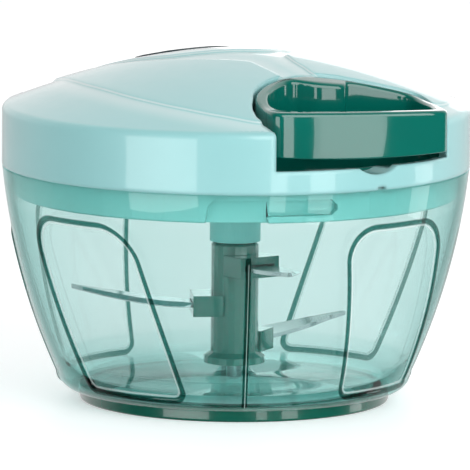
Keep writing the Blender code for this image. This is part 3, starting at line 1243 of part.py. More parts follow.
def main():
    """Build every piece."""
    clear_scene()
    clear_plastic = make_material("clear_styrene", "8fd6cc", 0.05, transmission=0.9)
    aqua = make_material("aqua_abs", "9ad4d5", 0.25)
    green_plastic = make_material("green_abs", "0f6b5c", 0.12)
    rubber = make_material("green_elastomer", "12604f", 0.35)
    steel = make_material("steel", "b9bcbe", 0.3, metallic=1.0)
    blade_steel = make_material("blade_steel", "c9ccce", 0.2, metallic=1.0)
    spring_steel = make_material("spring_steel", "7c8286", 0.35, metallic=1.0)
    silicone = make_material("silicone", "d9e6e4", 0.5)
    white_plastic = make_material("white_acetal", "e8e8e2", 0.4)
    cord_fibre = make_material("nylon_cord", "e9e9e4", 0.7)
    dark_plastic = make_material("dark_badge", "474f52", 0.3)
    build_bowl(clear_plastic)
    build_base(rubber, steel)
    build_blades(green_plastic, blade_steel)
    build_lid_cover(aqua)
    build_lid_plate(aqua, silicone, steel)
    build_badge(dark_plastic)
    build_handle(green_plastic)
    build_reel(white_plastic, cord_fibre, spring_steel, steel)
    build_drive(white_plastic, steel)
    build_cord(cord_fibre, steel)


main()
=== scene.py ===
"""Looks of a pull-cord food chopper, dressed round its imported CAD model.

Every length is in millimetres until a mesh is made, and +Z is up. The camera looks along +Y, and an
azimuth is measured from the front (-Y) towards +X.
"""

from __future__ import annotations

import logging
import math
from dataclasses import dataclass, field
from enum import Enum
from typing import Callable, Sequence

import bmesh
import bpy
import numpy as np
from mathutils import Matrix, Vector

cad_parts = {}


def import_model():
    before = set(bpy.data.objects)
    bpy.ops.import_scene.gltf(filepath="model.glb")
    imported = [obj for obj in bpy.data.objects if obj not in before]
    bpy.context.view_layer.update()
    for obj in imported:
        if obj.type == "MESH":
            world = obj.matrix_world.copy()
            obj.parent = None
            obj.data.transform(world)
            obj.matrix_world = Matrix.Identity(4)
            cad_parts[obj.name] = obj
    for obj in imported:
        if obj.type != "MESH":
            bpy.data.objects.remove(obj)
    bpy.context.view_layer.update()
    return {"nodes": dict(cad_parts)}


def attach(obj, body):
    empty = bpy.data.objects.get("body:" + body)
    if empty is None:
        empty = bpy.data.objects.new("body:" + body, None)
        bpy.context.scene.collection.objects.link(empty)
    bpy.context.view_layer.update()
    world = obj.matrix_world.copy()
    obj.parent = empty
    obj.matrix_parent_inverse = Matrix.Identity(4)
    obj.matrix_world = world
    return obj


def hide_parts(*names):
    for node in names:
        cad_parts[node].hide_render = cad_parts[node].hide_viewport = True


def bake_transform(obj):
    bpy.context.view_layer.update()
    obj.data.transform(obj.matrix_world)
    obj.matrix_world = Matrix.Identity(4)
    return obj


LOG = logging.getLogger("food_chopper")
MM = 0.001
PULL_AZIMUTH = 22.0      # degrees, the way that the cord leaves the lid
OUT_OF_REACH = -20.0     # mm, what a mesh carries as its distance where an outline has no say
FINE_STEPS = 720         # steps round the bowl and the lid, whose outlines show most
TOOL_STEPS = 240         # steps round what is cut from them or joined to them

Point2 = tuple[float, float]
Point3 = tuple[float, float, float]
Band = tuple[float, float, float, float]


class Body(Enum):
    """Moving bodies of the CAD model that a new piece rides on."""

    BOWL = "bowl"
    LID = "lid"
    HANDLE = "handle"


# Colour, nodes and meshes


def linear(hex_colour: str) -> tuple[float, float, float, float]:
    """Turn an sRGB hex colour into linear light.

    Args:
        hex_colour: Six hex digits, such as "0f6b5c".

    Returns:
        Red, green, blue and an alpha of 1.
    """
    values = []
    for start in (0, 2, 4):
        value = int(hex_colour[start:start + 2], 16) / 255
        values.append(value / 12.92 if value <= 0.04045 else ((value + 0.055) / 1.055) ** 2.4)
    return (values[0], values[1], values[2], 1.0)


def add_node(tree: bpy.types.NodeTree, kind: str, inputs: dict | None = None,
             **settings: object) -> bpy.types.Node:
    """Add a node with its settings, values and links.

    Args:
        tree: Node tree that gets the node.
        kind: Blender's name for the node.
        inputs: Socket name or index to a value, or to the output socket to link.
        settings: Attributes of the node.

    Returns:
        The new node.
    """
    node = tree.nodes.new(kind)
    for name, value in settings.items():
        setattr(node, name, value)
    for key, value in (inputs or {}).items():
        if isinstance(value, bpy.types.NodeSocket):
            tree.links.new(value, node.inputs[key])
        else:
            node.inputs[key].default_value = value
    return node


def per_mm(size: float) -> float:
    """Texture scale at which one cell of a pattern is size mm wide."""
    return 1.0 / (size * MM)


def smooth_step(value: np.ndarray, low: float, high: float) -> np.ndarray:
    """Ease from 0 at low to 1 at high, as the sides of a soft step do."""
    share = np.clip((value - low) / (high - low), 0.0, 1.0)
    return share * share * (3.0 - 2.0 * share)


def show(name: str, data: bpy.types.ID) -> bpy.types.Object:
    """Make an object from a mesh, lamp or camera, and link it to the scene.

    Args:
        name: Name of the object.
        data: What it shows.

    Returns:
        The object.
    """
    shown = bpy.data.objects.new(name, data)
    bpy.context.scene.collection.objects.link(shown)
    return shown


def shade(piece: bpy.types.Object, sharp: float) -> None:
    """Shade a piece smooth, with edges above an angle in degrees kept sharp."""
    piece.data.shade_smooth()
    piece.data.set_sharp_from_angle(angle=math.radians(sharp))


def points_of(piece: bpy.types.Object) -> np.ndarray:
    """Points of a piece's mesh, in mm."""
    return np.array([tuple(vertex.co) for vertex in piece.data.vertices]) / MM


def make_mesh(name: str, points: np.ndarray, faces: Sequence[Sequence[int]],
              sharp: float = 40.0) -> bpy.types.Object:
    """Make a smooth-shaded object from points in millimetres.

    Args:
        name: Name of the piece.
        points: Array of points, in mm.
        faces: Point numbers of each face.
        sharp: Angle in degrees above which an edge stays sharp.

    Returns:
        The object, linked to the scene.
    """
    mesh = bpy.data.meshes.new(name)
    mesh.from_pydata((points * MM).tolist(), [], faces)
    mesh.validate()
    work = bmesh.new()
    work.from_mesh(mesh)
    bmesh.ops.recalc_face_normals(work, faces=work.faces)
    work.to_mesh(mesh)
    work.free()
    piece = show(name, mesh)
    shade(piece, sharp)
    return piece


def grid_faces(rows: int, columns: int, wrap_rows: bool, wrap_columns: bool) -> list[tuple]:
    """Quads of a grid of points stored row by row.

    Args:
        rows: Number of rows.
        columns: Points in a row.
        wrap_rows: Whether the last row joins the first.
        wrap_columns: Whether the last column joins the first.

    Returns:
        Four point numbers for each quad.
    """
    faces = []
    for row in range(rows if wrap_rows else rows - 1):
        below = (row + 1) % rows
        for column in range(columns if wrap_columns else columns - 1):
            after = (column + 1) % columns
            faces.append((row * columns + column, row * columns + after,
                          below * columns + after, below * columns + column))
    return faces


def tube_faces(rows: int, columns: int) -> list[Sequence[int]]:
    """Faces of a tube whose points are stored ring by ring, with a flat cap at each end."""
    caps = [list(range(columns))[::-1], list(range((rows - 1) * columns, rows * columns))]
    return [*grid_faces(rows, columns, False, True), *caps]


def arc(centre: Point2, reach: Point2, degrees: Sequence[float]) -> list[Point2]:
    """Points of a quarter round or less.

    Args:
        centre: Centre of the arc.
        reach: Radius along each axis, which may differ or be negative.
        degrees: Angle of each point from the first axis.

    Returns:
        The points in order.
    """
    return [(centre[0] + reach[0] * math.cos(math.radians(angle)),
             centre[1] + reach[1] * math.sin(math.radians(angle))) for angle in degrees]


def revolve(name: str, profile: Sequence[Point2], segments: int = 160,
            shape: Callable[[np.ndarray, np.ndarray], np.ndarray] | None = None,
            sharp: float = 40.0) -> bpy.types.Object:
    """Turn a closed profile about Z.

    Args:
        name: Name of the piece.
        profile: Radius and height of each point; a radius of 0 closes the piece on its axis.
        segments: Steps round the circle.
        shape: Takes the azimuths and the points (radius, height) and returns new points.
        sharp: Angle in degrees above which an edge stays sharp.

    Returns:
        The turned piece.
    """
    section = np.array(profile, float)
    azimuths = np.arange(segments) * math.tau / segments
    radius = np.repeat(section[:, 0][:, None], segments, axis=1)
    height = np.repeat(section[:, 1][:, None], segments, axis=1)
    if shape is not None:
        radius, height = shape(azimuths[None, :], np.stack([radius, height]))
    points = np.stack([radius * np.sin(azimuths), -radius * np.cos(azimuths), height], axis=-1)
    on_axis = section[0, 0] < 1e-6 and section[-1, 0] < 1e-6
    faces = grid_faces(len(section), segments, not on_axis, True)
    piece = make_mesh(name, points.reshape(-1, 3), faces, sharp)
    weld(piece)
    return piece


def weld(piece: bpy.types.Object, distance: float = 0.001) -> None:
    """Join points that coincide, and drop faces with no area.

    Args:
        piece: The piece.
        distance: How near two points have to be to become one, in mm.
    """
    work = bmesh.new()
    work.from_mesh(piece.data)
    bmesh.ops.remove_doubles(work, verts=work.verts, dist=distance * MM)
    bmesh.ops.recalc_face_normals(work, faces=work.faces)
    work.to_mesh(piece.data)
    work.free()


def prism(name: str, outline: Sequence[Point2], low: float, high: float) -> bpy.types.Object:
    """Draw a flat outline up from one height to another, with flat caps."""
    points = np.array([(x, y, z) for z in (low, high) for x, y in outline], float)
    return make_mesh(name, points, tube_faces(2, len(outline)), 30.0)


def boolean(piece: bpy.types.Object, tool: bpy.types.Object, operation: str) -> None:
    """Apply a Boolean with a tool, and remove the tool.

    Args:
        piece: The piece that is kept.
        tool: The other piece, which is used up.
        operation: UNION, DIFFERENCE or INTERSECT.
    """
    modifier = piece.modifiers.new("boolean", "BOOLEAN")
    modifier.operation = operation
    modifier.object = tool
    modifier.solver = "EXACT"
    bpy.context.view_layer.update()
    graph = bpy.context.evaluated_depsgraph_get()
    mesh = bpy.data.meshes.new_from_object(piece.evaluated_get(graph))
    piece.modifiers.clear()
    old, piece.data = piece.data, mesh
    bpy.data.meshes.remove(old)
    bpy.data.objects.remove(tool, do_unlink=True)


def cylinder(name: str, radius: float, start: Point3, end: Point3, sides: int = 48) -> bpy.types.Object:
    """Make a closed cylinder between two points.

    Args:
        name: Name of the piece.
        radius: Radius in mm.
        start: Centre of one end.
        end: Centre of the other.
        sides: Faces round it.

    Returns:
        The cylinder.
    """
    first, last = Vector(start), Vector(end)
    turn = (last - first).to_track_quat("Z", "Y").to_matrix().to_4x4()
    work = bmesh.new()
    bmesh.ops.create_cone(work, cap_ends=True, segments=sides, radius1=radius, radius2=radius,
                          depth=(last - first).length)
    bmesh.ops.transform(work, matrix=Matrix.Scale(MM, 4) @ Matrix.Translation((first + last) / 2) @ turn,
                        verts=work.verts)
    mesh = bpy.data.meshes.new(name)
    work.to_mesh(mesh)
    work.free()
    return show(name, mesh)


def spline_loop(points: Sequence[Point2], spans: int) -> np.ndarray:
    """A closed smooth curve through control points.

    Args:
        points: Control points.
        spans: Points on the curve for each control point.

    Returns:
        An array of the curve's points.
    """
    control = np.array(points, float)
    before, after = np.roll(control, 1, 0), np.roll(control, -1, 0)
    beyond = np.roll(control, -2, 0)
    result = []
    for step in range(spans):
        u = step / spans
        result.append(0.5 * (2 * control + (after - before) * u
                             + (2 * before - 5 * control + 4 * after - beyond) * u ** 2
                             + (3 * control - before - 3 * after + beyond) * u ** 3))
    return np.stack(result, axis=1).reshape(-1, control.shape[1])


def distance_inside(points: np.ndarray, loop: np.ndarray) -> np.ndarray:
    """Measure how far points are inside a closed loop.

    Args:
        points: Array of points, x and y.
        loop: Array of the loop's points.

    Returns:
        The distance of each point to the loop, negative outside.
    """
    start, end = loop, np.roll(loop, -1, 0)
    best = np.full(len(points), np.inf)
    inside = np.zeros(len(points), bool)
    for (ax, ay), (bx, by) in zip(start, end):
        dx, dy = bx - ax, by - ay
        share = np.clip(((points[:, 0] - ax) * dx + (points[:, 1] - ay) * dy)
                        / max(dx * dx + dy * dy, 1e-12), 0, 1)
        best = np.minimum(best, np.hypot(points[:, 0] - ax - share * dx, points[:, 1] - ay - share * dy))
        crosses = (ay > points[:, 1]) != (by > points[:, 1])
        if dy:
            inside ^= crosses & (points[:, 0] < ax + (points[:, 1] - ay) * dx / dy)
    return np.where(inside, best, -best)


def pull_frame(t: float, s: float) -> Point2:
    """Turn a point of the handle's frame, t across the pull and s along it, into x and y."""
    angle = math.radians(PULL_AZIMUTH)
    return (t * math.cos(angle) + s * math.sin(angle), t * math.sin(angle) - s * math.cos(angle))


# Finishes


def band(tree: bpy.types.NodeTree, attribute: str, reach: Band) -> bpy.types.NodeSocket:
    """Draw a soft band along an outline, from a distance that the mesh carries in mm.

    Args:
        tree: Node tree of the material.
        attribute: Name of the mesh's distance attribute.
        reach: Where the band begins to show, shows in full, begins to fade and is gone.

    Returns:
        The socket with the band's strength, from 0 to 1.
    """
    start, full, fade, end = reach
    distance = add_node(tree, "ShaderNodeAttribute", attribute_name=attribute).outputs["Fac"]
    rise = add_node(tree, "ShaderNodeMapRange",
                    {"Value": distance, "From Min": start, "From Max": full},
                    interpolation_type="SMOOTHSTEP")
    fall = add_node(tree, "ShaderNodeMapRange", {"Value": distance, "From Min": fade, "From Max": end,
                                                 "To Min": 1.0, "To Max": 0.0},
                    interpolation_type="SMOOTHSTEP")
    return add_node(tree, "ShaderNodeMath", {0: rise.outputs["Result"], 1: fall.outputs["Result"]},
                    operation="MULTIPLY").outputs[0]


def store_distance(piece: bpy.types.Object, name: str, values: np.ndarray) -> None:
    """Keep a distance, in mm, for each point of a piece's mesh."""
    layer = piece.data.attributes.new(name, "FLOAT", "POINT")
    layer.data.foreach_set("value", np.asarray(values, np.float32))


@dataclass(frozen=True)
class Finish:
    """A material, named for what it really is."""

    name: str
    colour: str
    roughness: float
    ior: float = 1.5

    def shader(self) -> tuple[bpy.types.Material, bpy.types.NodeTree, bpy.types.Node]:
        """Make the material with its Principled shader and the values all finishes share.

        Returns:
            The material, its node tree and its shader.
        """
        material = bpy.data.materials.new(self.name)
        material.use_nodes = True
        tree = material.node_tree
        shader = tree.nodes["Principled BSDF"]
        shader.inputs["Base Color"].default_value = linear(self.colour)
        shader.inputs["Roughness"].default_value = self.roughness
        shader.inputs["IOR"].default_value = self.ior
        return material, tree, shader

    def build(self) -> bpy.types.Material:
        """Make the material."""
        return self.shader()[0]


@dataclass(frozen=True)
class MouldedPlastic(Finish):
    """Injection-moulded ABS, acetal or elastomer: an even colour and a skin copied from the mould."""

    second_colour: str = ""
    flow: float = 30.0       # mm, width of the faint clouds that the melt's flow leaves
    grain: float = 0.6       # mm, cells of the mould's skin, drawn coarser than the real ones to show
    grain_height: float = 0.002
    edge: float = 0.3        # mm, radius that every sharp edge of the moulding is broken to
    spread: float = 0.06     # how far roughness wanders
    wear: float = 4.0        # mm, width of the patches that handling leaves duller
    polish: float = 0.0      # how far the skin shines like the polished steel that it was moulded on
    gloss: float = 0.03      # roughness of that polish
    line: str = ""           # attribute, in mm inside a raised leaf's outline, for the painted highlight along its edge
    # colour of the painted highlight
    pale: str = "f4fbfa"
    shoulder_highlight_band: Band = (0.2, 0.45, 0.5, 0.8)      # painted highlight: a thin bright line on the leaf's shoulder
    shoulder_highlight_share: float = 0.55
    valley_highlight_band: Band = (-7.0, -0.6, -0.1, 0.3)  # painted highlight: a wide soft one in the valley beside it
    valley_highlight_share: float = 0.35

    def build(self) -> bpy.types.Material:
        """Make the material, with flow clouds in its colour, a painted highlight along any leaf's edge, and
        the mould's skin as bump.

        Returns:
            The material.
        """
        material, tree, shader = self.shader()
        place = add_node(tree, "ShaderNodeTexCoord").outputs["Object"]
        clouds = add_node(tree, "ShaderNodeTexNoise", {"Vector": place, "Scale": per_mm(self.flow),
                                                       "Detail": 2.0})
        colour = add_node(tree, "ShaderNodeMix", {"Factor": clouds.outputs["Fac"],
                                                  6: linear(self.colour),
                                                  7: linear(self.second_colour or self.colour)},
                          data_type="RGBA")
        skin_colour = colour.outputs[2]
        # Painted highlight: a thin bright line on each leaf's shoulder and a wide soft one in the valley
        # beside it, for the light that the real rounded edges and valleys catch
        if self.line:
            thin, wide = (add_node(tree, "ShaderNodeMath", {0: band(tree, self.line, reach), 1: share},
                                   operation="MULTIPLY").outputs[0]
                          for reach, share in ((self.shoulder_highlight_band, self.shoulder_highlight_share),
                                               (self.valley_highlight_band, self.valley_highlight_share)))
            painted_glint = add_node(tree, "ShaderNodeMath", {0: thin, 1: wide}, operation="MAXIMUM")
            skin_colour = add_node(tree, "ShaderNodeMix", {"Factor": painted_glint.outputs[0], 6: skin_colour,
                                                           7: linear(self.pale)},
                                   data_type="RGBA").outputs[2]
        tree.links.new(skin_colour, shader.inputs["Base Color"])
        wear = add_node(tree, "ShaderNodeTexNoise", {"Vector": place, "Scale": per_mm(self.wear),
                                                     "Detail": 3.0})
        rough = add_node(tree, "ShaderNodeMapRange",
                         {"Value": wear.outputs["Fac"], "From Min": 0.3, "From Max": 0.7,
                          "To Min": self.roughness - self.spread / 2,
                          "To Max": self.roughness + self.spread / 2})
        tree.links.new(rough.outputs["Result"], shader.inputs["Roughness"])
        skin = add_node(tree, "ShaderNodeTexNoise", {"Vector": place, "Scale": per_mm(self.grain),
                                                     "Detail": 1.0})
        edge = add_node(tree, "ShaderNodeBevel", {"Radius": self.edge * MM}, samples=6)
        bump = add_node(tree, "ShaderNodeBump", {"Height": skin.outputs["Fac"], "Strength": 1.0,
                                                 "Normal": edge.outputs["Normal"],
                                                 "Distance": self.grain_height * MM})
        tree.links.new(bump.outputs["Normal"], shader.inputs["Normal"])
        if self.polish:
            shader.inputs["Coat Weight"].default_value = self.polish
            shader.inputs["Coat Roughness"].default_value = self.gloss
            tree.links.new(edge.outputs["Normal"], shader.inputs["Coat Normal"])
        return material


@dataclass(frozen=True)
class ClearPlastic(Finish):
    """Clear styrene copolymer, tinted aqua through its whole thickness and polished in the mould."""

    density: float = 80.0    # per metre, how fast the tint takes light
    line: str = ""           # attribute, in mm inside a pressed window's outline, for the painted shade and highlight along its step
    step: str = "0b4038"     # painted shade of the step, where the real wall bends light away
    step_shade_band: Band = (-1.5, -1.15, 0.1, 0.4)
    skin: str = "eef7f6"     # what each of the polished faces leaves of it
    glint_band: Band = (0.2, 0.5, 0.6, 1.1)      # painted highlight: a pale line on the step's inner edge
    glint: float = 0.6       # how much light still passes there
    gloss: float = 0.02      # roughness of the polished skin
    ripple: float = 14.0     # mm, width of the faint waves that the melt leaves as it sets
    ripple_height: float = 0.03

    def build(self) -> bpy.types.Material:
        """Make the material: a clear shader with painted shade and highlight along the windows' steps, and
        the tint as absorption within the wall.

        Returns:
            The material.
        """
        material, tree, shader = self.shader()
        shader.inputs["Transmission Weight"].default_value = 1.0
        shader.inputs["Coat Weight"].default_value = 1.0
        shader.inputs["Coat Roughness"].default_value = self.gloss
        # Painted shade and highlight: a dark line along each window's step, where the real wall bends light
        # away, and a pale line on its inner edge that lets less light through
        if self.line:
            dark = band(tree, self.line, self.step_shade_band)
            skin = add_node(tree, "ShaderNodeMix", {"Factor": dark, 6: linear(self.skin),
                                                    7: linear(self.step)}, data_type="RGBA")
            tree.links.new(skin.outputs[2], shader.inputs["Base Color"])
            pale = band(tree, self.line, self.glint_band)
            clear = add_node(tree, "ShaderNodeMapRange", {"Value": pale, "To Min": 1.0, "To Max": self.glint})
            tree.links.new(clear.outputs["Result"], shader.inputs["Transmission Weight"])
        absorb = add_node(tree, "ShaderNodeVolumeAbsorption", {"Color": linear(self.colour),
                                                               "Density": self.density})
        tree.links.new(absorb.outputs["Volume"], tree.nodes["Material Output"].inputs["Volume"])
        place = add_node(tree, "ShaderNodeTexCoord").outputs["Object"]
        ripple = add_node(tree, "ShaderNodeTexNoise", {"Vector": place, "Scale": per_mm(self.ripple),
                                                       "Detail": 1.0})
        bump = add_node(tree, "ShaderNodeBump", {"Height": ripple.outputs["Fac"], "Strength": 1.0,
                                                 "Distance": self.ripple_height * MM})
        tree.links.new(bump.outputs["Normal"], shader.inputs["Normal"])
        return material


@dataclass(frozen=True)
class Steel(Finish):
    """Stainless or spring steel, ground or drawn in one direction."""

    grit: float = 0.35       # mm between grinding lines, drawn coarser than the real ones to show
    streak: Point3 = (1.0, 1.0, 12.0)            # how far the lines are drawn out, as a ratio
    edge: float = 0.15       # mm, radius of its deburred edges
    line_height: float = 0.004

    def build(self) -> bpy.types.Material:
        """Make the material, with grinding lines in its roughness and its surface.

        Returns:
            The material.
        """
        material, tree, shader = self.shader()
        shader.inputs["Metallic"].default_value = 1.0
        place = add_node(tree, "ShaderNodeTexCoord").outputs["Object"]
        stretched = add_node(tree, "ShaderNodeMapping", {"Vector": place, "Scale": self.streak})
        lines = add_node(tree, "ShaderNodeTexNoise", {"Vector": stretched.outputs["Vector"],
                                                      "Scale": per_mm(self.grit * 6), "Detail": 4.0})
        rough = add_node(tree, "ShaderNodeMapRange", {"Value": lines.outputs["Fac"],
                                                      "To Min": self.roughness * 0.7,
                                                      "To Max": self.roughness * 1.4})
        tree.links.new(rough.outputs["Result"], shader.inputs["Roughness"])
        edge = add_node(tree, "ShaderNodeBevel", {"Radius": self.edge * MM}, samples=4)
        bump = add_node(tree, "ShaderNodeBump", {"Height": lines.outputs["Fac"], "Strength": 0.6,
                                                 "Normal": edge.outputs["Normal"],
                                                 "Distance": self.line_height * MM})
        tree.links.new(bump.outputs["Normal"], shader.inputs["Normal"])
        return material


@dataclass(frozen=True)
class BraidedNylon(Finish):
    """Braided nylon cord, with strands that cross along it."""

    strand: float = 0.5      # mm, width of one strand
    strand_height: float = 0.08
    shaded: str = "b9b9b2"   # colour between the strands
    sheen: float = 0.2

    def build(self) -> bpy.types.Material:
        """Make the material, with the braid's crossing strands in its colour and surface.

        Returns:
            The material.
        """
        material, tree, shader = self.shader()
        place = add_node(tree, "ShaderNodeTexCoord").outputs["Object"]
        braid = add_node(tree, "ShaderNodeTexVoronoi", {"Vector": place, "Scale": per_mm(self.strand)})
        strands = add_node(tree, "ShaderNodeMix", {"Factor": braid.outputs["Distance"],
                                                   6: linear(self.colour), 7: linear(self.shaded)},
                           data_type="RGBA")
        tree.links.new(strands.outputs[2], shader.inputs["Base Color"])
        bump = add_node(tree, "ShaderNodeBump", {"Height": braid.outputs["Distance"], "Strength": 0.8,
                                                 "Distance": self.strand_height * MM})
        tree.links.new(bump.outputs["Normal"], shader.inputs["Normal"])
        shader.inputs["Sheen Weight"].default_value = self.sheen
        return material


@dataclass
class Finishes:
    """All finishes of the chopper, each built once."""

    # Lid: ABS from a polished mould, satin under a gloss, with its edges rounded soft, and a painted
    # highlight along the leaves' edges and in the valleys beside them
    aqua_abs: Finish = MouldedPlastic("aqua_abs_moulded", "98d0d1", 0.34, 1.5, "9cd4d5",
                                      grain_height=0.0012, edge=1.6, polish=1.0, line="leaf_edge")
    # Handle and spindle: ABS from a mirror-polished mould, so that lamps show in it with sharp edges. It also
    # stands as painted shade in the hollow under the handle
    green_abs: Finish = MouldedPlastic("green_abs_polished", "04675b", 0.08, 1.5, "066c5f",
                                       grain_height=0.0003, spread=0.03, polish=1.0, gloss=0.015)
    # Lid's plate: the same ABS from a plain mould, so it is matt, in a darker aqua than the lid's that is
    # painted shade for its place under the lid
    inner_abs: Finish = MouldedPlastic("aqua_abs_inner", "80c6c2", 0.4, 1.5, "85c9c5")
    # Bowl: the coat gives the reflections of its polished skin. The clear core has an IOR of 1, because
    # thin walls hardly bend what is seen through them and a bent view turns black at their edges
    clear: Finish = ClearPlastic("clear_aqua_styrene", "61cac5", 0.02, 1.0, line="window_edge")
    # Base ring: rubbery elastomer, dull in itself with a fresh-moulded shine
    rubber: Finish = MouldedPlastic("green_elastomer", "0a5f4f", 0.24, 1.5, "0c6453", polish=1.0)
    # Steels: ground to a bright streaky sheen, plated and a little dull, and blued
    blade: Finish = Steel("stainless_blade_ground", "c9ccce", 0.16)
    steel: Finish = Steel("zinc_plated_steel", "b9bcbe", 0.28)
    spring: Finish = Steel("spring_steel_blued", "7c8286", 0.3)
    # Mechanism: acetal looks waxy and off-white, and the silicone of the seal milky
    acetal: Finish = MouldedPlastic("white_acetal", "e4e4dd", 0.38, 1.48, "ebebe5")
    silicone: Finish = MouldedPlastic("silicone_seal", "d9e6e4", 0.45, 1.41, "cfdedc")
    # Badge: a plain dark plate with a shine
    badge: Finish = MouldedPlastic("dark_abs_gloss", "3b4346", 0.12, 1.53, "41494c", polish=0.5)
    # Cord: off-white braid that scatters light at its edges
    cord: Finish = BraidedNylon("braided_nylon_cord", "e6e6e0", 0.65)
    built: dict[str, bpy.types.Material] = field(default_factory=dict)

    def get(self, finish: Finish) -> bpy.types.Material:
        """Return a finish's material, made on first use.

        Args:
            finish: The finish.

        Returns:
            Its material, the same one at each call.
        """
        if finish.name not in self.built:
            self.built[finish.name] = finish.build()
        return self.built[finish.name]


def dress(piece: bpy.types.Object, material: bpy.types.Material) -> None:
    """Give every face of a piece one material.

    Args:
        piece: The piece.
        material: The material, which takes the place of those it has.
    """
    piece.data.materials.clear()
    piece.data.materials.append(material)
    for face in piece.data.polygons:
        face.material_index = 0


def place_piece(piece: bpy.types.Object, body: Body, slot: str, *nodes: str) -> None:
    """Let a piece ride on a body and take the place of CAD nodes.

    Args:
        piece: The new piece.
        body: Body that it moves with.
        slot: Name of a material slot; not used.
        nodes: CAD nodes that it stands for.
    """
    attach(piece, body.value)
    if nodes:
        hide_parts(*nodes)
    LOG.info("%s rides on %s and stands for %s", piece.name, body.value, nodes or "no node")


# Bowl and base ring


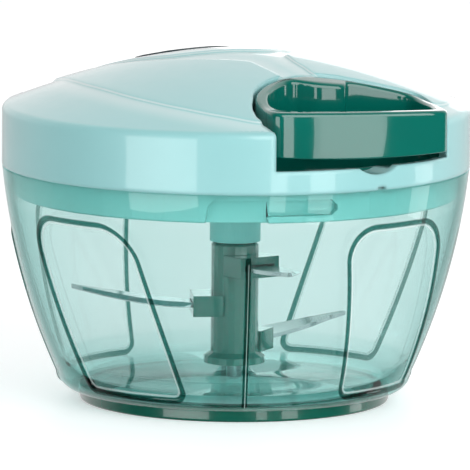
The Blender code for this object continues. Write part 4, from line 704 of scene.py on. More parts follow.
@dataclass
class Bowl:
    """Clear bowl with its slanted arched windows, ribs, bayonet lugs and foot."""

    finishes: Finishes
    # Outside, as radius and height
    rim_radius: float = 62.4
    shoulder: float = 62.7
    waist: Point2 = (56.8, 33.3)
    heel: Point2 = (47.3, 7.4)
    corner_low: float = 3.0
    # Lip and mouth, which stand inside the lid
    lip_radius: float = 60.75
    lip_top: float = 63.6
    mouth_radius: float = 59.6
    mouth_depth: float = 9.0
    wall: float = 2.1
    # Foot, whose bead holds the ring, and the boss for the pin
    seat_radius: float = 41.7
    seat_round: float = 0.4      # rounding between the seat and the corner above it
    bead: Point2 = (37.6, 39.4)
    bead_tip: float = 1.2
    floor_under: float = 4.2
    floor_top: float = 6.4
    floor_round: float = 7.5
    pin_hole: Point2 = (2.2, 5.3)
    boss_radius: float = 3.7
    boss_top: float = 9.4
    boss_foot: float = 6.2
    # Windows, pressed into the wall: azimuths in degrees, heights and roundings in mm
    windows: int = 4
    window_depth: float = 0.75
    window_centre_top: float = -44.3
    window_centre_low: float = -34.8
    window_half_top: float = 16.4
    window_half_low: float = 18.4
    window_top: float = 52.6
    window_low: float = 6.7
    window_arch: float = 9.0
    window_corner: float = 2.5
    window_step: Point2 = (-0.35, 0.75)      # where its soft step starts and ends, across the outline
    # Ribs between the windows
    rib_azimuth: float = 3.4
    rib_top: float = 47.5
    rib_height: float = 0.45
    rib_half: float = 0.45
    rib_flare: float = 0.5       # by how much more it is half as wide at its foot
    rib_fade: float = 4.0        # length over which its top end dies away
    # Bayonet lugs, lens shaped
    lugs: int = 3
    lug_azimuth: float = 21.2
    lug_half_angle: float = 4.1
    lug_middle: float = 58.9
    lug_half_height: float = 1.4
    lug_root: float = 0.6
    lug_reach: float = 2.2
    outer_rows: np.ndarray = field(init=False, repr=False)   # 1 for each row that they shape

    def wall_radius(self, height: np.ndarray) -> np.ndarray:
        """Outer radius of the wall, on an arc through rim, waist and heel.

        Args:
            height: Height or heights, in mm.

        Returns:
            The radius at each height.
        """
        (ax, ay), (bx, by), (cx, cy) = (self.rim_radius, self.shoulder), self.waist, self.heel
        d = 2 * (ax * (by - cy) + bx * (cy - ay) + cx * (ay - by))
        a2, b2, c2 = ax * ax + ay * ay, bx * bx + by * by, cx * cx + cy * cy
        ux = (a2 * (by - cy) + b2 * (cy - ay) + c2 * (ay - by)) / d
        uy = (a2 * (cx - bx) + b2 * (ax - cx) + c2 * (bx - ax)) / d
        return ux + np.sqrt((ax - ux) ** 2 + (ay - uy) ** 2 - (height - uy) ** 2)

    def from_nearest(self, azimuth: np.ndarray, centre: np.ndarray | float) -> np.ndarray:
        """Degrees from the nearest copy of a window or rib whose first centre is given."""
        pitch = 360.0 / self.windows
        return (np.degrees(azimuth) - centre + pitch / 2) % pitch - pitch / 2

    def window_share(self, azimuth: np.ndarray, radius: np.ndarray, height: np.ndarray) -> np.ndarray:
        """Measure how far points are inside a window.

        Args:
            azimuth: Azimuths in radians.
            radius: Radii in mm.
            height: Heights in mm.

        Returns:
            The distance to the window's outline in mm, negative outside.
        """
        share = (height - self.window_low) / (self.window_top - self.window_low)
        centre = self.window_centre_low + (self.window_centre_top - self.window_centre_low) * share
        half = self.window_half_low + (self.window_half_top - self.window_half_low) * share
        across = (half - np.abs(self.from_nearest(azimuth, centre))) * np.radians(1.0) * radius
        up = self.window_top - height
        down = height - self.window_low
        rounding = np.where(up < down, self.window_arch, self.window_corner)
        near = np.minimum(up, down)
        corner = rounding - np.hypot(np.maximum(rounding - across, 0), np.maximum(rounding - near, 0))
        return np.minimum(np.minimum(across, near), corner)

    def outer_shape(self, azimuths: np.ndarray, section: np.ndarray) -> tuple[np.ndarray, np.ndarray]:
        """Press the windows into the outer wall and raise the ribs.

        Args:
            azimuths: Azimuth of each step round the bowl, in radians.
            section: Radii and heights of the profile's points at each step.

        Returns:
            The new radii and heights.
        """
        radius, height = section
        outer = self.outer_rows[:, None]
        inside = self.window_share(azimuths, radius, height)
        radius = radius - outer * self.window_depth * smooth_step(inside, *self.window_step)
        side = np.abs(np.radians(self.from_nearest(azimuths, self.rib_azimuth)) * radius)
        width = self.rib_half + self.rib_flare * np.clip((self.rib_top - 1.0 - height) / 40.0, 0, 1)
        rib = ((1.0 - smooth_step(side, width * 0.4, width))
               * smooth_step(self.rib_top - height, 0.0, self.rib_fade))
        return radius + outer * self.rib_height * rib, height

    def profile(self) -> list[Point2]:
        """Draw the bowl's closed section, and mark its rows that the windows and ribs shape.

        Returns:
            Radius and height of each point, from the rim down the outside and back up the inside.
        """
        heights = np.concatenate([np.linspace(self.shoulder, 55, 10)[:-1],
                                  np.linspace(55, self.heel[1], 110)])
        outer = [(float(self.wall_radius(z)), float(z)) for z in heights]
        inner_edge = self.seat_radius + self.seat_round
        corner = arc((inner_edge, self.heel[1]),
                     (self.heel[0] - inner_edge, self.corner_low - self.heel[1]),
                     np.linspace(90 / 14, 90, 14))
        bead_in, bead_out = self.bead
        foot = [(self.seat_radius, self.corner_low), (self.seat_radius, self.floor_under),
                (bead_out, self.floor_under), (bead_out, self.bead_tip), (bead_in, self.bead_tip),
                (bead_in, self.floor_under), (0.0, self.floor_under)]
        hole, hole_floor = self.pin_hole
        boss = [(0.0, hole_floor), (hole, hole_floor), (hole, self.boss_top - 0.2),
                (hole + 0.2, self.boss_top), (self.boss_radius - 0.3, self.boss_top),
                (self.boss_radius, self.boss_top - 0.3), (self.boss_foot - 0.6, self.floor_top + 0.3),
                (self.boss_foot, self.floor_top)]
        inner_heel = (self.heel[0] - 2.3, self.heel[1] + 4.2)
        floor = arc((inner_heel[0] - self.floor_round, inner_heel[1]),
                    (self.floor_round, self.floor_top - inner_heel[1]), np.linspace(90, 9, 10))
        mouth_low = self.shoulder - self.mouth_depth
        inner = [(min(float(self.wall_radius(z)) - self.wall, self.mouth_radius), float(z))
                 for z in np.linspace(inner_heel[1], mouth_low - 1.2, 24)]
        inner += [(self.mouth_radius, mouth_low)]
        rim = [(self.mouth_radius, self.lip_top - 0.2), (self.mouth_radius + 0.2, self.lip_top),
               (self.lip_radius - 0.2, self.lip_top), (self.lip_radius, self.lip_top - 0.2),
               (self.lip_radius, self.shoulder), (self.rim_radius - 0.15, self.shoulder)]
        points = outer + corner + foot + boss + floor + inner + rim
        # The wall takes them from just below the rim to just round the heel
        self.outer_rows = np.zeros(len(points))
        self.outer_rows[2:len(outer) + 6] = 1.0
        return points

    def build(self) -> None:
        """Make the bowl with its lugs."""
        shell = revolve("bowl_clear", self.profile(), FINE_STEPS, self.outer_shape, 50.0)
        for index in range(self.lugs):
            self.add_lug(shell, self.lug_azimuth + 360 / self.lugs * index)
        dress(shell, self.finishes.get(self.finishes.clear))
        self.trace_windows(shell)
        place_piece(shell, Body.BOWL, "clear_styrene", "bowl")

    def trace_windows(self, shell: bpy.types.Object) -> None:
        """Keep each outer point's distance inside the windows, for the painted shade and highlight along
        their steps.

        Args:
            shell: The bowl.
        """
        points = points_of(shell)
        radius = np.hypot(points[:, 0], points[:, 1])
        azimuth = np.arctan2(points[:, 0], -points[:, 1])
        wall = np.array([float(self.wall_radius(z)) for z in np.clip(points[:, 2], self.heel[1], 60.0)])
        inside = self.window_share(azimuth, radius, points[:, 2])
        # A rib's sides are as steep as a window's step, so they get the same painted shade and highlight
        beside = np.abs(np.radians(self.from_nearest(azimuth, self.rib_azimuth))) * radius
        below = (self.rib_top - 0.5 - points[:, 2]) - 2.0
        inside = np.maximum(inside, np.minimum(0.8 - 3.0 * beside, below))
        on_outside = radius > wall - self.window_depth - 0.35
        store_distance(shell, "window_edge", np.where(on_outside, inside, OUT_OF_REACH))

    def add_lug(self, shell: bpy.types.Object, azimuth: float) -> None:
        """Fuse a lens-shaped bayonet lug to the inside of the bowl's mouth.

        Args:
            shell: The bowl.
            azimuth: Azimuth of the lug's middle, in degrees.
        """
        rows, columns = 9, 28
        points = []
        for row in range(rows):
            depth = row / (rows - 1)
            shrink = math.sqrt(max(1.0 - (max(depth - 0.45, 0) / 0.6) ** 2, 0.02))
            radius = self.mouth_radius + self.lug_root - self.lug_reach * depth
            for column in range(columns):
                turn = math.tau * column / columns
                angle = math.radians(azimuth + self.lug_half_angle * shrink * math.cos(turn))
                points.append((radius * math.sin(angle), -radius * math.cos(angle),
                               self.lug_middle + self.lug_half_height * shrink * math.sin(turn)))
        boolean(shell, make_mesh("lug", np.array(points), tube_faces(rows, columns)), "UNION")


@dataclass
class BaseRing:
    """Soft non-slip ring with rounded edges, whose groove takes the bowl's bead."""

    finishes: Finishes
    outer: float = 41.4
    inner: float = 34.5
    top: float = 3.9
    groove: Point2 = (37.3, 39.7)
    groove_floor: float = 0.9

    def build(self) -> None:
        """Make the ring. Close pairs of points at its edges keep the wall between them flat."""
        groove_in, groove_out = self.groove
        ring = revolve("base_ring_soft", [
            (groove_out, self.top), (self.outer - 0.4, self.top), (self.outer - 0.1, self.top - 0.1),
            (self.outer, self.top - 0.3), (self.outer, self.top - 0.5), (self.outer, 0.7),
            (self.outer, 0.5), (self.outer - 0.2, 0.15), (self.outer - 0.6, 0.0),
            (self.inner + 0.4, 0.0), (self.inner + 0.1, 0.1), (self.inner, 0.4),
            (self.inner, self.top - 0.3), (self.inner + 0.1, self.top), (groove_in, self.top),
            (groove_in, self.groove_floor), (groove_out, self.groove_floor)], 200)
        dress(ring, self.finishes.get(self.finishes.rubber))
        place_piece(ring, Body.BOWL, "green_elastomer", "base_ring")


# Lid, handle and cord


@dataclass
class LidCover:
    """Cover of the lid: side wall, dome with raised leaves, and the pocket round the handle."""

    finishes: Finishes
    # Outside
    radius: float = 62.5
    bottom: float = 63.0
    rim: float = 79.5
    edge_round: float = 2.0
    edge_radius: float = 60.8
    dome_top: float = 93.4
    shoulder: Point2 = (44.0, 85.4)
    leaf_height: float = 0.7
    leaf_step: Point2 = (-0.1, 0.9)      # where a leaf's soft edge starts and ends, across its outline
    # Inside of the side wall and of the dome, with the seat of the lid's plate
    seat_radius: float = 61.05
    seat_top: float = 66.5
    wall_inner: float = 60.3
    wall_top: float = 76.7
    roof_radius: float = 59.5
    roof: float = 2.2
    # Tub that the pocket is cut from: its wall goes round the pocket, inside the cover
    tub_wall: float = 1.6
    tub_radius: float = 61.3
    tub_top: float = 76.5
    tub_foot: Point2 = (55.3, 62.9)
    tub_roof_radius: float = 58.0
    tub_roof: float = 0.9
    # Pocket: open above its mouth, then a ledge, then a hollow
    gap: float = 0.6                     # all round the handle
    pocket_back: float = 42.0            # how far out its walls start to run straight to the front
    pocket_middle: float = 13.0
    handle_right: float = 40.0
    dark_below: float = 71.2
    sill: float = 69.1
    ledge: float = 68.1
    hollow: float = 64.5
    hollow_radius: float = 53.7
    # Finger dip in the sill, and the nick in the lower edge below it
    dip_azimuth: float = 36.6
    dip_radius: float = 11.0
    dip_depth: float = 1.9
    dip_half: float = 7.5                # half its width, where the floor is left out of the painted shade
    nick_azimuth: float = 37.6
    nick_half: float = 0.022             # radians
    nick_height: float = 0.9

    def dome(self, radius: np.ndarray) -> np.ndarray:
        """Height of the dome without its leaves, on a power curve through top, shoulder and rim.

        Args:
            radius: Radius or radii, in mm.

        Returns:
            The height at each radius.
        """
        power = (math.log((self.dome_top - self.rim) / (self.dome_top - self.shoulder[1]))
                 / math.log(self.edge_radius / self.shoulder[0]))
        drop = (self.dome_top - self.shoulder[1]) / self.shoulder[0] ** power
        return self.dome_top - drop * np.asarray(radius, float) ** power

    def under_dome(self, reach: float, depth: float, steps: Sequence[int]) -> list[Point2]:
        """Points of a section that runs at a depth below the dome, in 12 steps out to a radius."""
        return [(reach * i / 12, float(self.dome(reach * i / 12)) - depth) for i in steps]

    def leaf_raise(self, points: np.ndarray) -> np.ndarray:
        """How far the leaves lift the dome.

        Args:
            points: Array of points, x and y.

        Returns:
            The lift at each point, in mm.
        """
        lift = np.zeros(len(points))
        for leaf in LEAVES:
            inside = distance_inside(points, spline_loop(leaf, 6))
            lift = np.maximum(lift, self.leaf_height * smooth_step(inside, *self.leaf_step))
        return lift

    def build(self) -> None:
        """Make the cover, without its screws or the mechanism."""
        radii = np.concatenate([[0.0], np.linspace(0.5, self.edge_radius, 150)])
        top = [(float(r), float(self.dome(r))) for r in radii]
        centre = (self.radius - self.edge_round, self.rim - self.edge_round * 0.94)
        edge = arc(centre, (self.edge_round, self.edge_round), np.linspace(58, 0, 9))
        wall = [(self.radius, z) for z in np.linspace(centre[1] - 1.0, self.bottom + 0.3, 30)]
        wall += [(self.radius - 0.1, self.bottom + 0.08), (self.radius - 0.3, self.bottom)]
        inner = [(self.seat_radius, self.bottom), (self.seat_radius, self.seat_top),
                 (self.wall_inner, self.seat_top), (self.wall_inner, self.wall_top)]
        inner += self.under_dome(self.roof_radius, self.roof, range(12, -1, -1))
        rows = len(top)

        def shape(azimuths: np.ndarray, section: np.ndarray) -> tuple[np.ndarray, np.ndarray]:
            """Lift the leaves out of the dome.

            Args:
                azimuths: Azimuth of each step round the cover, in radians.
                section: Radii and heights of the profile's points at each step.

            Returns:
                The new radii and heights.
            """
            radius, height = section
            x = (radius[:rows] * np.sin(azimuths)).ravel()
            y = (-radius[:rows] * np.cos(azimuths)).ravel()
            lift = self.leaf_raise(np.stack([x, y], axis=1)).reshape(rows, -1)
            height = height.copy()
            height[:rows] += lift
            return radius, height

        cover = revolve("lid_cover_shell", top + edge + wall + inner, FINE_STEPS, shape, 35.0)
        self.add_tub(cover)
        self.cut_pocket(cover)
        self.cut_dip(cover)
        self.cut_nick(cover)
        shade(cover, 35.0)
        self.trace_leaves(cover)
        dress(cover, self.finishes.get(self.finishes.aqua_abs))
        self.paint_hollow_shade(cover)
        place_piece(cover, Body.LID, "aqua_abs", "lid_cover")

    def trace_leaves(self, cover: bpy.types.Object) -> None:
        """Keep each point's distance inside the nearest leaf, for the painted highlight along the leaves'
        edges and in the valleys beside them.

        Args:
            cover: The cover.
        """
        points = points_of(cover)
        radius = np.hypot(points[:, 0], points[:, 1])
        above = points[:, 2] - self.dome(np.minimum(radius, 62.0))
        inside = np.max([distance_inside(points[:, :2], spline_loop(leaf, 6)) for leaf in LEAVES], axis=0)
        shown = (above > -0.05) & (radius < self.edge_radius)
        store_distance(cover, "leaf_edge", np.where(shown, inside, OUT_OF_REACH))

    def paint_hollow_shade(self, cover: bpy.types.Object) -> None:
        """Paint the floor and walls of the hollow under the handle dark green, as painted shade for the
        shadow there.

        Args:
            cover: The cover.
        """
        # Painted shade: the dark green ABS on the hollow's floor and walls stands for the shadow under the
        # handle
        cover.data.materials.append(self.finishes.get(self.finishes.green_abs))
        centres = np.array([tuple(face.center) for face in cover.data.polygons]) / MM
        radius, height = np.hypot(centres[:, 0], centres[:, 1]), centres[:, 2]
        angle = math.radians(self.dip_azimuth)
        aside = np.abs(centres[:, 0] * math.cos(angle) + centres[:, 1] * math.sin(angle))
        inside = distance_inside(centres[:, :2], np.array(self.pocket(self.gap / 2)))
        under = ((inside > 0) & (height < self.dark_below - 0.05) & (height > self.hollow - 0.05)
                 & (radius < self.wall_inner + 0.05) & ((aside > self.dip_half) | (radius < 56.0)))
        for index in np.flatnonzero(under):
            cover.data.polygons[int(index)].material_index = 1

    def pocket(self, wall: float) -> list[Point2]:
        """Draw the outline of the pocket, which follows the handle and is open at the front.

        Args:
            wall: How far outside the pocket the outline runs, in mm.

        Returns:
            The outline's points, in x and y.
        """
        loop = spline_loop(HANDLE_OUTER, 6)
        edge = np.roll(loop, -1, 0) - np.roll(loop, 1, 0)
        normal = np.stack([edge[:, 1], -edge[:, 0]], axis=1)
        normal /= np.linalg.norm(normal, axis=1)[:, None]
        if ((loop - loop.mean(0)) * normal).sum() < 0:
            normal = -normal
        grown = loop + normal * (self.gap + wall)
        kept = sorted((tuple(p) for p in grown if p[1] < self.pocket_back),
                      key=lambda p: math.atan2(p[1] - self.pocket_back, p[0] - self.pocket_middle))
        left = [(t - wall, s) for t, s in POCKET_LEFT]
        right = self.handle_right + self.gap + wall
        outline = left + kept + [(right, self.pocket_back + 0.5), (right, POCKET_LEFT[0][1])]
        return [pull_frame(t, s) for t, s in outline]

    def add_tub(self, cover: bpy.types.Object) -> None:
        """Join the solid that the pocket is cut from to the inside of the cover.

        Args:
            cover: The cover.
        """
        foot_radius, foot = self.tub_foot
        tub = revolve("tub", [
            (0.0, 91.0), *self.under_dome(self.tub_roof_radius, self.tub_roof, range(1, 13)),
            (self.tub_radius, self.tub_top), (self.tub_radius, self.seat_top),
            (foot_radius, self.seat_top), (foot_radius, foot), (0.0, foot)], TOOL_STEPS)
        boolean(tub, prism("tub_outline", self.pocket(self.tub_wall), 60, 110), "INTERSECT")
        boolean(cover, tub, "UNION")

    def cut_pocket(self, cover: bpy.types.Object) -> None:
        """Cut the pocket: open over the sill, with a ledge and a hollow under the handle.

        Args:
            cover: The cover.
        """
        boolean(cover, prism("pocket_mouth", self.pocket(0.0), self.dark_below, 111.0), "DIFFERENCE")
        space = revolve("pocket_space", [
            (0.0, 110.0), (95.0, 110.0), (95.0, self.sill), (self.wall_inner, self.sill),
            (self.wall_inner, self.ledge), (self.hollow_radius, self.ledge),
            (self.hollow_radius, self.hollow), (0.0, self.hollow)], TOOL_STEPS)
        boolean(space, prism("pocket", self.pocket(-0.02), self.hollow - 1.0, self.dark_below + 0.2),
                "INTERSECT")
        boolean(cover, space, "DIFFERENCE")

    def cut_dip(self, cover: bpy.types.Object) -> None:
        """Cut the rounded finger dip into the sill below the handle.

        Args:
            cover: The cover.
        """
        angle = math.radians(self.dip_azimuth)
        line = Vector((math.sin(angle), -math.cos(angle), 0.0))
        height = Vector((0, 0, self.sill - self.dip_depth + self.dip_radius))
        boolean(cover, cylinder("dip", self.dip_radius, tuple(line * 54.5 + height),
                                tuple(line * 66.0 + height), 120), "DIFFERENCE")

    def cut_nick(self, cover: bpy.types.Object) -> None:
        """Cut the small nick, through the wall, into the cover's lower edge.

        Args:
            cover: The cover.
        """
        angle = math.radians(self.nick_azimuth)
        sides = (angle - self.nick_half, angle + self.nick_half)
        outline = [(61.4 * math.sin(a), -61.4 * math.cos(a)) for a in sides]
        outline += [(64 * math.sin(a), -64 * math.cos(a)) for a in sides[::-1]]
        boolean(cover, prism("nick", outline, self.bottom - 1, self.bottom + self.nick_height),
                "DIFFERENCE")


# The handle's loop from above, as pairs of a point of its outer wall and the point of its inner wall
# across the bar from it. Each is given across the pull and along it, and so is the pocket's left side
HANDLE_PAIRS: tuple[tuple[Point2, Point2], ...] = (
    ((-4.5, 57.19), (-2.2, 53.4)), ((-8.2, 56.57), (-5.2, 52.4)), ((-10.5, 55.85), (-7.2, 50.8)),
    ((-11.9, 53.9), (-8.2, 49.2)), ((-12.3, 50.2), (-8.8, 47.2)), ((-12.1, 46.4), (-8.8, 45.0)),
    ((-11.8, 42.6), (-7.9, 41.8)), ((-10.4, 39.2), (-6.4, 38.8)), ((-8.4, 36.5), (-4.7, 36.9)),
    ((-6.2, 34.3), (-3.0, 35.2)), ((-3.3, 32.1), (-0.6, 33.2)), ((-0.3, 30.3), (1.6, 31.9)),
    ((3.0, 29.1), (3.9, 31.6)), ((6.3, 28.1), (6.3, 32.4)), ((9.9, 27.6), (9.5, 33.4)),
    ((13.5, 27.8), (13.5, 33.7)), ((17.0, 28.0), (16.9, 33.5)), ((18.6, 28.2), (18.0, 32.4)),
    ((20.0, 28.6), (18.6, 30.9)), ((24.0, 29.5), (21.5, 30.9)), ((29.8, 30.2), (28.5, 31.6)),
    ((35.5, 30.7), (34.0, 32.2)), ((38.6, 31.9), (36.0, 33.6)), ((39.8, 35.0), (36.9, 36.6)),
    ((39.9, 42.0), (37.0, 43.0)), ((38.4, 50.6), (35.5, 49.6)), ((37.3, 55.0), (34.7, 52.2)),
    ((34.8, 57.0), (32.4, 53.3)), ((24.0, 57.8), (22.0, 53.9)), ((14.0, 58.0), (13.0, 54.2)),
    ((4.0, 57.8), (4.6, 54.0)), ((-1.0, 57.52), (1.2, 53.8)))
HANDLE_OUTER = [pair[0] for pair in HANDLE_PAIRS]
POCKET_LEFT = ((-13.4, 90.0), (-13.4, 61.0), (-14.0, 58.5), (-15.0, 55.5), (-15.5, 52.2), (-15.0, 48.5),
               (-13.9, 45.2))
# Outlines of the three raised leaves from above, in x and y
LEAVES: tuple[tuple[Point2, ...], ...] = (
    ((-49.0, 20.0), (-46.2, 2.0), (-41.3, -14.4), (-34.7, -27.2), (-27.7, -37.0), (-19.7, -44.7),
     (-11.9, -50.0), (-4.0, -53.9), (8.0, -57.0), (15.0, -48.0), (16.0, -34.0), (12.1, -26.4),
     (6.9, -19.3), (3.7, -15.2), (-4.3, -13.2), (-12.2, -10.8), (-20.2, -6.5), (-28.3, 0.2),
     (-36.5, 10.0)),
    ((13.0, 0.0), (13.7, -7.6), (16.9, -15.1), (23.0, -24.0), (40.0, -26.0), (54.0, -18.0),
     (57.5, -2.0), (56.0, 12.0), (50.0, 24.0), (40.0, 33.0), (29.0, 28.0), (20.0, 16.0)),
    ((-40.0, 24.0), (-23.0, 1.0), (-9.6, -3.0), (6.9, 0.6), (13.0, 11.0), (20.0, 25.0), (27.0, 38.0),
     (25.0, 49.0), (12.0, 54.5), (-6.0, 55.0), (-24.0, 50.0), (-38.0, 40.0)))


@dataclass
class PullHandle:
    """D-shaped loop, one smooth moulding with rounded edges and the knot's boss."""

    finishes: Finishes
    cover: LidCover
    bottom: float = 72.0
    brim: float = 83.3
    brim_fall: float = 0.0245    # mm that the brim drops for each mm towards the right
    over_dome: float = 0.2
    sag: float = 0.9             # mm that the grip's lower edge bows down at its middle
    front: Point2 = (46.0, 56.0)         # where along the pull that bow starts and is whole
    grip_middle: float = 14.0
    grip_half: float = 25.0
    top_round: float = 1.1
    low_round: float = 0.4
    blend: float = 0.5                   # how softly the dome's sweep runs into the brim
    cord_offset: float = 12.5
    cord_height: float = 76.5
    cord_hole: float = 1.05
    knot_pocket: float = 2.3
    knot_floor: float = 30.2             # how far out the knot's pocket starts

    def top(self, x: np.ndarray, y: np.ndarray) -> np.ndarray:
        """Height of the handle's top: the dome's sweep at the back, a level brim in front.

        Args:
            x: Places in x, in mm.
            y: Places in y, in mm.

        Returns:
            The height at each place.
        """
        dome = self.cover.dome(np.hypot(x, y)) + self.over_dome
        turn = math.radians(PULL_AZIMUTH)
        across = x * math.cos(turn) + y * math.sin(turn) - self.cord_offset
        brim = self.brim - self.brim_fall * across
        return brim + self.blend * np.logaddexp(0.0, (dome - brim) / self.blend)

    def build(self) -> None:
        """Make the handle from matched loops: rounded edges, walls, top and underside."""
        outer, inner = (np.array([pull_frame(t, s) for t, s in spline_loop(loop, 12)])
                        for loop in (HANDLE_OUTER, [pair[1] for pair in HANDLE_PAIRS]))
        width = np.linalg.norm(inner - outer, axis=1)
        across = (inner - outer) / width[:, None]
        rows = []
        turn = math.radians(PULL_AZIMUTH)
        along = outer[:, 0] * math.sin(turn) - outer[:, 1] * math.cos(turn)
        side = outer[:, 0] * math.cos(turn) + outer[:, 1] * math.sin(turn)
        bow = (np.clip(1.0 - ((side - self.grip_middle) / self.grip_half) ** 2, 0.0, 1.0)
               * smooth_step(along, *self.front))

        def add_row(offset: np.ndarray, rise: float | None, drop: float) -> None:
            """Add a loop of points to the handle's skin.

            Args:
                offset: How far in from the outer wall each point is, in mm.
                rise: Height above the bottom, or None for a loop that follows the top.
                drop: Depth below the top, where it follows the top.
            """
            place = outer + across * offset[:, None]
            if rise is None:
                height = self.top(place[:, 0], place[:, 1]) - drop
            else:
                height = self.bottom + rise - self.sag * bow
            rows.append(np.column_stack([place, height]))

        # Up the outer wall, over the top and down the inner wall, with a quarter round at each edge
        ones = np.ones(len(outer))
        turns = [math.radians(90 * i / 5) for i in range(6)]
        low = [(self.low_round * (1 - math.sin(turn)), self.low_round * (1 - math.cos(turn)))
               for turn in turns]
        high = [(self.top_round * (1 - math.cos(turn)), self.top_round * (1 - math.sin(turn)))
                for turn in turns]
        for inward, rise in low:
            add_row(ones * inward, rise, 0.0)
        for inward, drop in high:
            add_row(ones * inward, None, drop)
        for share in (0.35, 0.5, 0.65):
            add_row(width * share, None, 0.0)
        for inward, drop in high[::-1]:
            add_row(width - inward, None, drop)
        for inward, rise in low[::-1]:
            add_row(width - inward, rise, 0.0)
        handle = make_mesh("pull_handle_loop", np.concatenate(rows),
                           grid_faces(len(rows), len(outer), True, True), 50.0)
        end = (*pull_frame(self.cord_offset, 45.0), self.cord_height)
        for name, radius, back in (("cord_hole", self.cord_hole, 20.0),
                                   ("knot_pocket", self.knot_pocket, self.knot_floor)):
            start = (*pull_frame(self.cord_offset, back), self.cord_height)
            boolean(handle, cylinder(name, radius, start, end), "DIFFERENCE")
        shade(handle, 50.0)
        dress(handle, self.finishes.get(self.finishes.green_abs))
        place_piece(handle, Body.HANDLE, "green_abs", "pull_handle")


@dataclass
class PullCord:
    """Braided cord from the reel to its knot, which pays out as the handle is pulled."""

    finishes: Finishes
    offset: float = 12.5
    height: float = 76.5
    start: float = 73.25         # height where it leaves the reel
    eyelet: Point2 = (26.0, 27.6)        # back and front of the eyelet, along the pull
    knot: float = 32.4
    knot_radius: float = 1.9
    radius: float = 0.75
    lead: float = 1.7            # how far outside its winding it leaves the reel

    def build(self) -> None:
        """Make the cord, from where it leaves the reel through the lid's eyelet to its knot in the handle."""
        back, front = self.eyelet
        drop = self.height - self.start
        route = [(back * way, self.start + drop * rise)
                 for way, rise in ((0.02, 0.0), (0.17, 0.09), (0.31, 0.22), (0.47, 0.42), (0.62, 0.62),
                                   (0.78, 0.87), (0.91, 1.0))]
        knot_start = self.knot - math.sqrt(self.knot_radius ** 2 - self.radius ** 2)
        route += [(float(s), self.height) for s in np.linspace(front - 1.0, knot_start, 24)]
        sizes = [self.radius] * len(route)
        for turn in np.linspace(math.pi - math.asin(self.radius / self.knot_radius), 0.06, 10)[1:]:
            route.append((self.knot + self.knot_radius * math.cos(turn), self.height))
            sizes.append(self.knot_radius * math.sin(turn))
        line = np.array(route)
        slope = np.gradient(line, axis=0)
        slope /= np.linalg.norm(slope, axis=1)[:, None]
        columns = 12
        points = []
        for (along, height), (run, rise), size in zip(line, slope, sizes):
            for column in range(columns):
                turn = math.tau * column / columns
                across, lift = size * math.cos(turn), size * math.sin(turn)
                aside = self.lead * max(0.0, 1.0 - along / back) ** 2
                x, y = pull_frame(self.offset + aside + across, along - lift * rise)
                points.append((x, y, height + lift * run))
        cord = make_mesh("pull_cord", np.array(points), tube_faces(len(route), columns), 50.0)
        dress(cord, self.finishes.get(self.finishes.cord))
        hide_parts("cord_run")
        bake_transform(cord)
        LOG.info("%s runs from %s to %s", cord.name, Body.LID.value, Body.HANDLE.value)


@dataclass
class CadPieces:
    """CAD nodes that keep their shape and get their finish here."""

    finishes: Finishes

    def build(self, nodes: dict[str, bpy.types.Object]) -> None:
        """Dress each CAD node that stays in view.

        Args:
            nodes: CAD nodes by name.
        """
        kit = self.finishes
        table = {kit.steel: ("bowl_pin", "reel_axle", "cord_eyelet", "pawl_", "lid_screw_"),
                 kit.blade: ("blade_lower", "blade_middle", "blade_upper"),
                 kit.green_abs: ("blade_spindle",), kit.inner_abs: ("lid_plate",),
                 kit.silicone: ("lid_seal",), kit.badge: ("top_badge",),
                 kit.acetal: ("reel", "drive_hub"), kit.spring: ("return_spring",),
                 kit.cord: ("cord_winding",)}
        for finish, names in table.items():
            for name, node in nodes.items():
                if name.rstrip("0123456789") in names:
                    shade(node, 35.0)
                    dress(node, kit.get(finish))
                    LOG.info("%s keeps its CAD shape", name)


# Studio


@dataclass(frozen=True)
class Softbox:
    """Rectangular lamp that stands or hangs round the object and faces it."""

    name: str
    azimuth: float           # degrees from the front towards +X
    distance: float          # mm from where it aims
    width: float
    height: float
    centre: float            # height that it aims at, on the object's axis
    radiance: float          # brightness, where 1 is the white of the surroundings
    elevation: float = 0.0   # degrees that it hangs above that height

    def build(self) -> None:
        """Add the lamp. It lights the object and shines in it, and the camera doesn't see it."""
        light = bpy.data.lights.new(self.name, "AREA")
        light.shape = "RECTANGLE"
        light.size, light.size_y = self.width * MM, self.height * MM
        light.energy = self.radiance * math.pi * light.size * light.size_y
        holder = show(self.name, light)
        azimuth, rise = math.radians(self.azimuth), math.radians(self.elevation)
        aim = Vector((0.0, 0.0, self.centre)) * MM
        out = Vector((math.sin(azimuth) * math.cos(rise), -math.cos(azimuth) * math.cos(rise),
                      math.sin(rise)))
        holder.location = aim + out * self.distance * MM
        holder.rotation_euler = (aim - holder.location).to_track_quat("-Z", "Y").to_euler()
        holder.visible_camera = False


# The broad lamp at the left, the window and the strip at the right, two fills, and the key light above
SOFTBOXES = (
    Softbox("softbox_left", -34.5, 450.0, 275.0, 200.0, 0.0, 2.6),
    Softbox("softbox_right", 40.3, 450.0, 95.0, 200.0, 0.0, 2.6),
    Softbox("softbox_strip", 19.7, 450.0, 60.0, 200.0, 0.0, 2.6),
    Softbox("softbox_back", 171.0, 900.0, 320.0, 260.0, 160.0, 0.75),
    Softbox("softbox_side", 100.0, 500.0, 120.0, 200.0, 0.0, 2.0),
    Softbox("softbox_key", 33.0, 1000.0, 900.0, 700.0, 50.0, 2.9, 24.0))


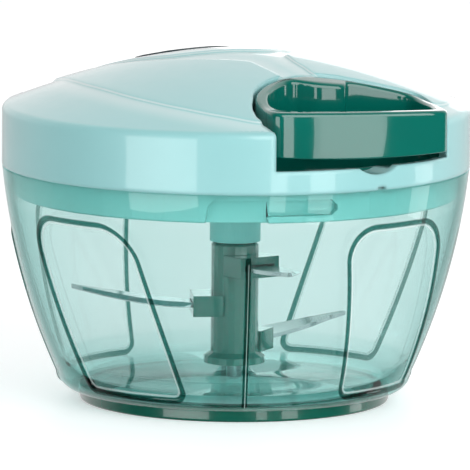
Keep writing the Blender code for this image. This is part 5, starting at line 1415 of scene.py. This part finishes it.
@dataclass
class Studio:
    """White table, softboxes and the camera."""

    focal: float = 537.6
    sensor: float = 36.0
    distance: float = 1875.0
    elevation: float = 7.5
    roll: float = 0.49
    seam: float = 63.0       # height of the lid's lower edge, which the camera's distance is taken from
    aim: Point3 = (-0.05, 0.0, 43.9)
    table_radius: float = 9000.0
    table_colour: str = "f4f5f6"
    fill: float = 0.56       # plain light from all round
    room: float = 0.04       # brightness of the dark room in front
    low_light: float = 0.65  # brightness low down behind the object
    glow: float = 0.42       # what the table adds where it is looked at, so that it is white

    def build(self) -> None:
        """Set up the studio."""
        scene = bpy.context.scene
        scene.view_settings.view_transform = "Standard"
        self.add_world(scene)
        self.add_table()
        for softbox in SOFTBOXES:
            softbox.build()
        self.add_camera(scene)

    def add_world(self, scene: bpy.types.Scene) -> None:
        """Surround the object with a plain level of light, and with white where it is looked at.

        Args:
            scene: The scene.
        """
        world = bpy.data.worlds.new("studio")
        scene.world = world
        world.use_nodes = True
        tree = world.node_tree
        tree.nodes.clear()
        ray, seen = self.looked_at(tree)
        both = add_node(tree, "ShaderNodeMath", {0: seen, 1: ray.outputs["Is Glossy Ray"]},
                        operation="MAXIMUM")
        # What shines in the object is white behind and above it, and dark in front and below
        place = add_node(tree, "ShaderNodeTexCoord").outputs["Generated"]
        axes = add_node(tree, "ShaderNodeSeparateXYZ", {"Vector": place})
        behind = add_node(tree, "ShaderNodeMapRange", {
            "Value": axes.outputs["Y"], "From Min": -0.2, "From Max": 0.6}, interpolation_type="SMOOTHSTEP")
        above = add_node(tree, "ShaderNodeMapRange", {
            "Value": axes.outputs["Z"], "From Min": -0.1, "From Max": 0.1, "To Min": self.low_light,
            "To Max": 1.0}, interpolation_type="SMOOTHSTEP")
        bright = add_node(tree, "ShaderNodeMath", {0: behind.outputs["Result"], 1: above.outputs["Result"]},
                          operation="MULTIPLY")
        mirrored = add_node(tree, "ShaderNodeMapRange", {"Value": bright.outputs[0], "To Min": self.room})
        shown = add_node(tree, "ShaderNodeMix", {0: seen, 2: mirrored.outputs["Result"], 3: 1.0})
        level = add_node(tree, "ShaderNodeMix", {0: both.outputs[0], 2: self.fill, 3: shown.outputs[0]})
        light = add_node(tree, "ShaderNodeBackground", {"Color": (1, 1, 1, 1), "Strength": level.outputs[0]})
        add_node(tree, "ShaderNodeOutputWorld", {"Surface": light.outputs[0]})

    def looked_at(self, tree: bpy.types.NodeTree) -> tuple[bpy.types.Node, bpy.types.NodeSocket]:
        """Tell what is looked at, straight or through the clear bowl, from what only gives light.

        Args:
            tree: Node tree of the world or of a material.

        Returns:
            The light path node, and a socket that is 1 where it is looked at.
        """
        ray = add_node(tree, "ShaderNodeLightPath")
        seen = add_node(tree, "ShaderNodeMath", {0: ray.outputs["Is Camera Ray"],
                                                 1: ray.outputs["Is Transmission Ray"]},
                        operation="MAXIMUM")
        return ray, seen.outputs[0]

    def add_table(self) -> None:
        """Add a round white table top that fades into the white surroundings."""
        mesh = bpy.data.meshes.new("table")
        work = bmesh.new()
        bmesh.ops.create_circle(work, cap_ends=True, segments=96, radius=self.table_radius * MM)
        work.to_mesh(mesh)
        work.free()
        table = show("table", mesh)
        material = bpy.data.materials.new("white_table")
        material.use_nodes = True
        tree = material.node_tree
        shader = tree.nodes["Principled BSDF"]
        shader.inputs["Base Color"].default_value = linear(self.table_colour)
        shader.inputs["Roughness"].default_value = 0.5
        # White where it is looked at, with the object's shadow left in it
        seen = self.looked_at(tree)[1]
        glow = add_node(tree, "ShaderNodeMath", {0: seen, 1: self.glow}, operation="MULTIPLY")
        shader.inputs["Emission Color"].default_value = (1.0, 1.0, 1.0, 1.0)
        tree.links.new(glow.outputs[0], shader.inputs["Emission Strength"])
        table.data.materials.append(material)
        table.visible_glossy = False

    def add_camera(self, scene: bpy.types.Scene) -> None:
        """Stand the camera where the photograph was taken from.

        Args:
            scene: The scene.
        """
        data = bpy.data.cameras.new("camera")
        data.lens = self.focal
        data.sensor_width = self.sensor
        data.clip_end = 30.0
        camera = show("camera", data)
        tilt = math.radians(self.elevation)
        place = Vector((0.0, -self.distance * math.cos(tilt),
                        self.seam + self.distance * math.sin(tilt)))
        line = Vector(self.aim) - place
        turn = line.to_track_quat("-Z", "Y").to_matrix().to_4x4() @ Matrix.Rotation(
            math.radians(self.roll), 4, "Z")
        camera.matrix_world = Matrix.Translation(place * MM) @ turn
        scene.camera = camera


def main() -> None:
    """Build the chopper's looks and the studio round it."""
    logging.basicConfig(level=logging.INFO, format="%(name)s: %(message)s")
    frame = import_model()
    finishes = Finishes()
    Bowl(finishes).build()
    BaseRing(finishes).build()
    cover = LidCover(finishes)
    cover.build()
    PullHandle(finishes, cover).build()
    PullCord(finishes).build()
    CadPieces(finishes).build(frame["nodes"])
    Studio().build()


if __name__ == "__main__":
    main()
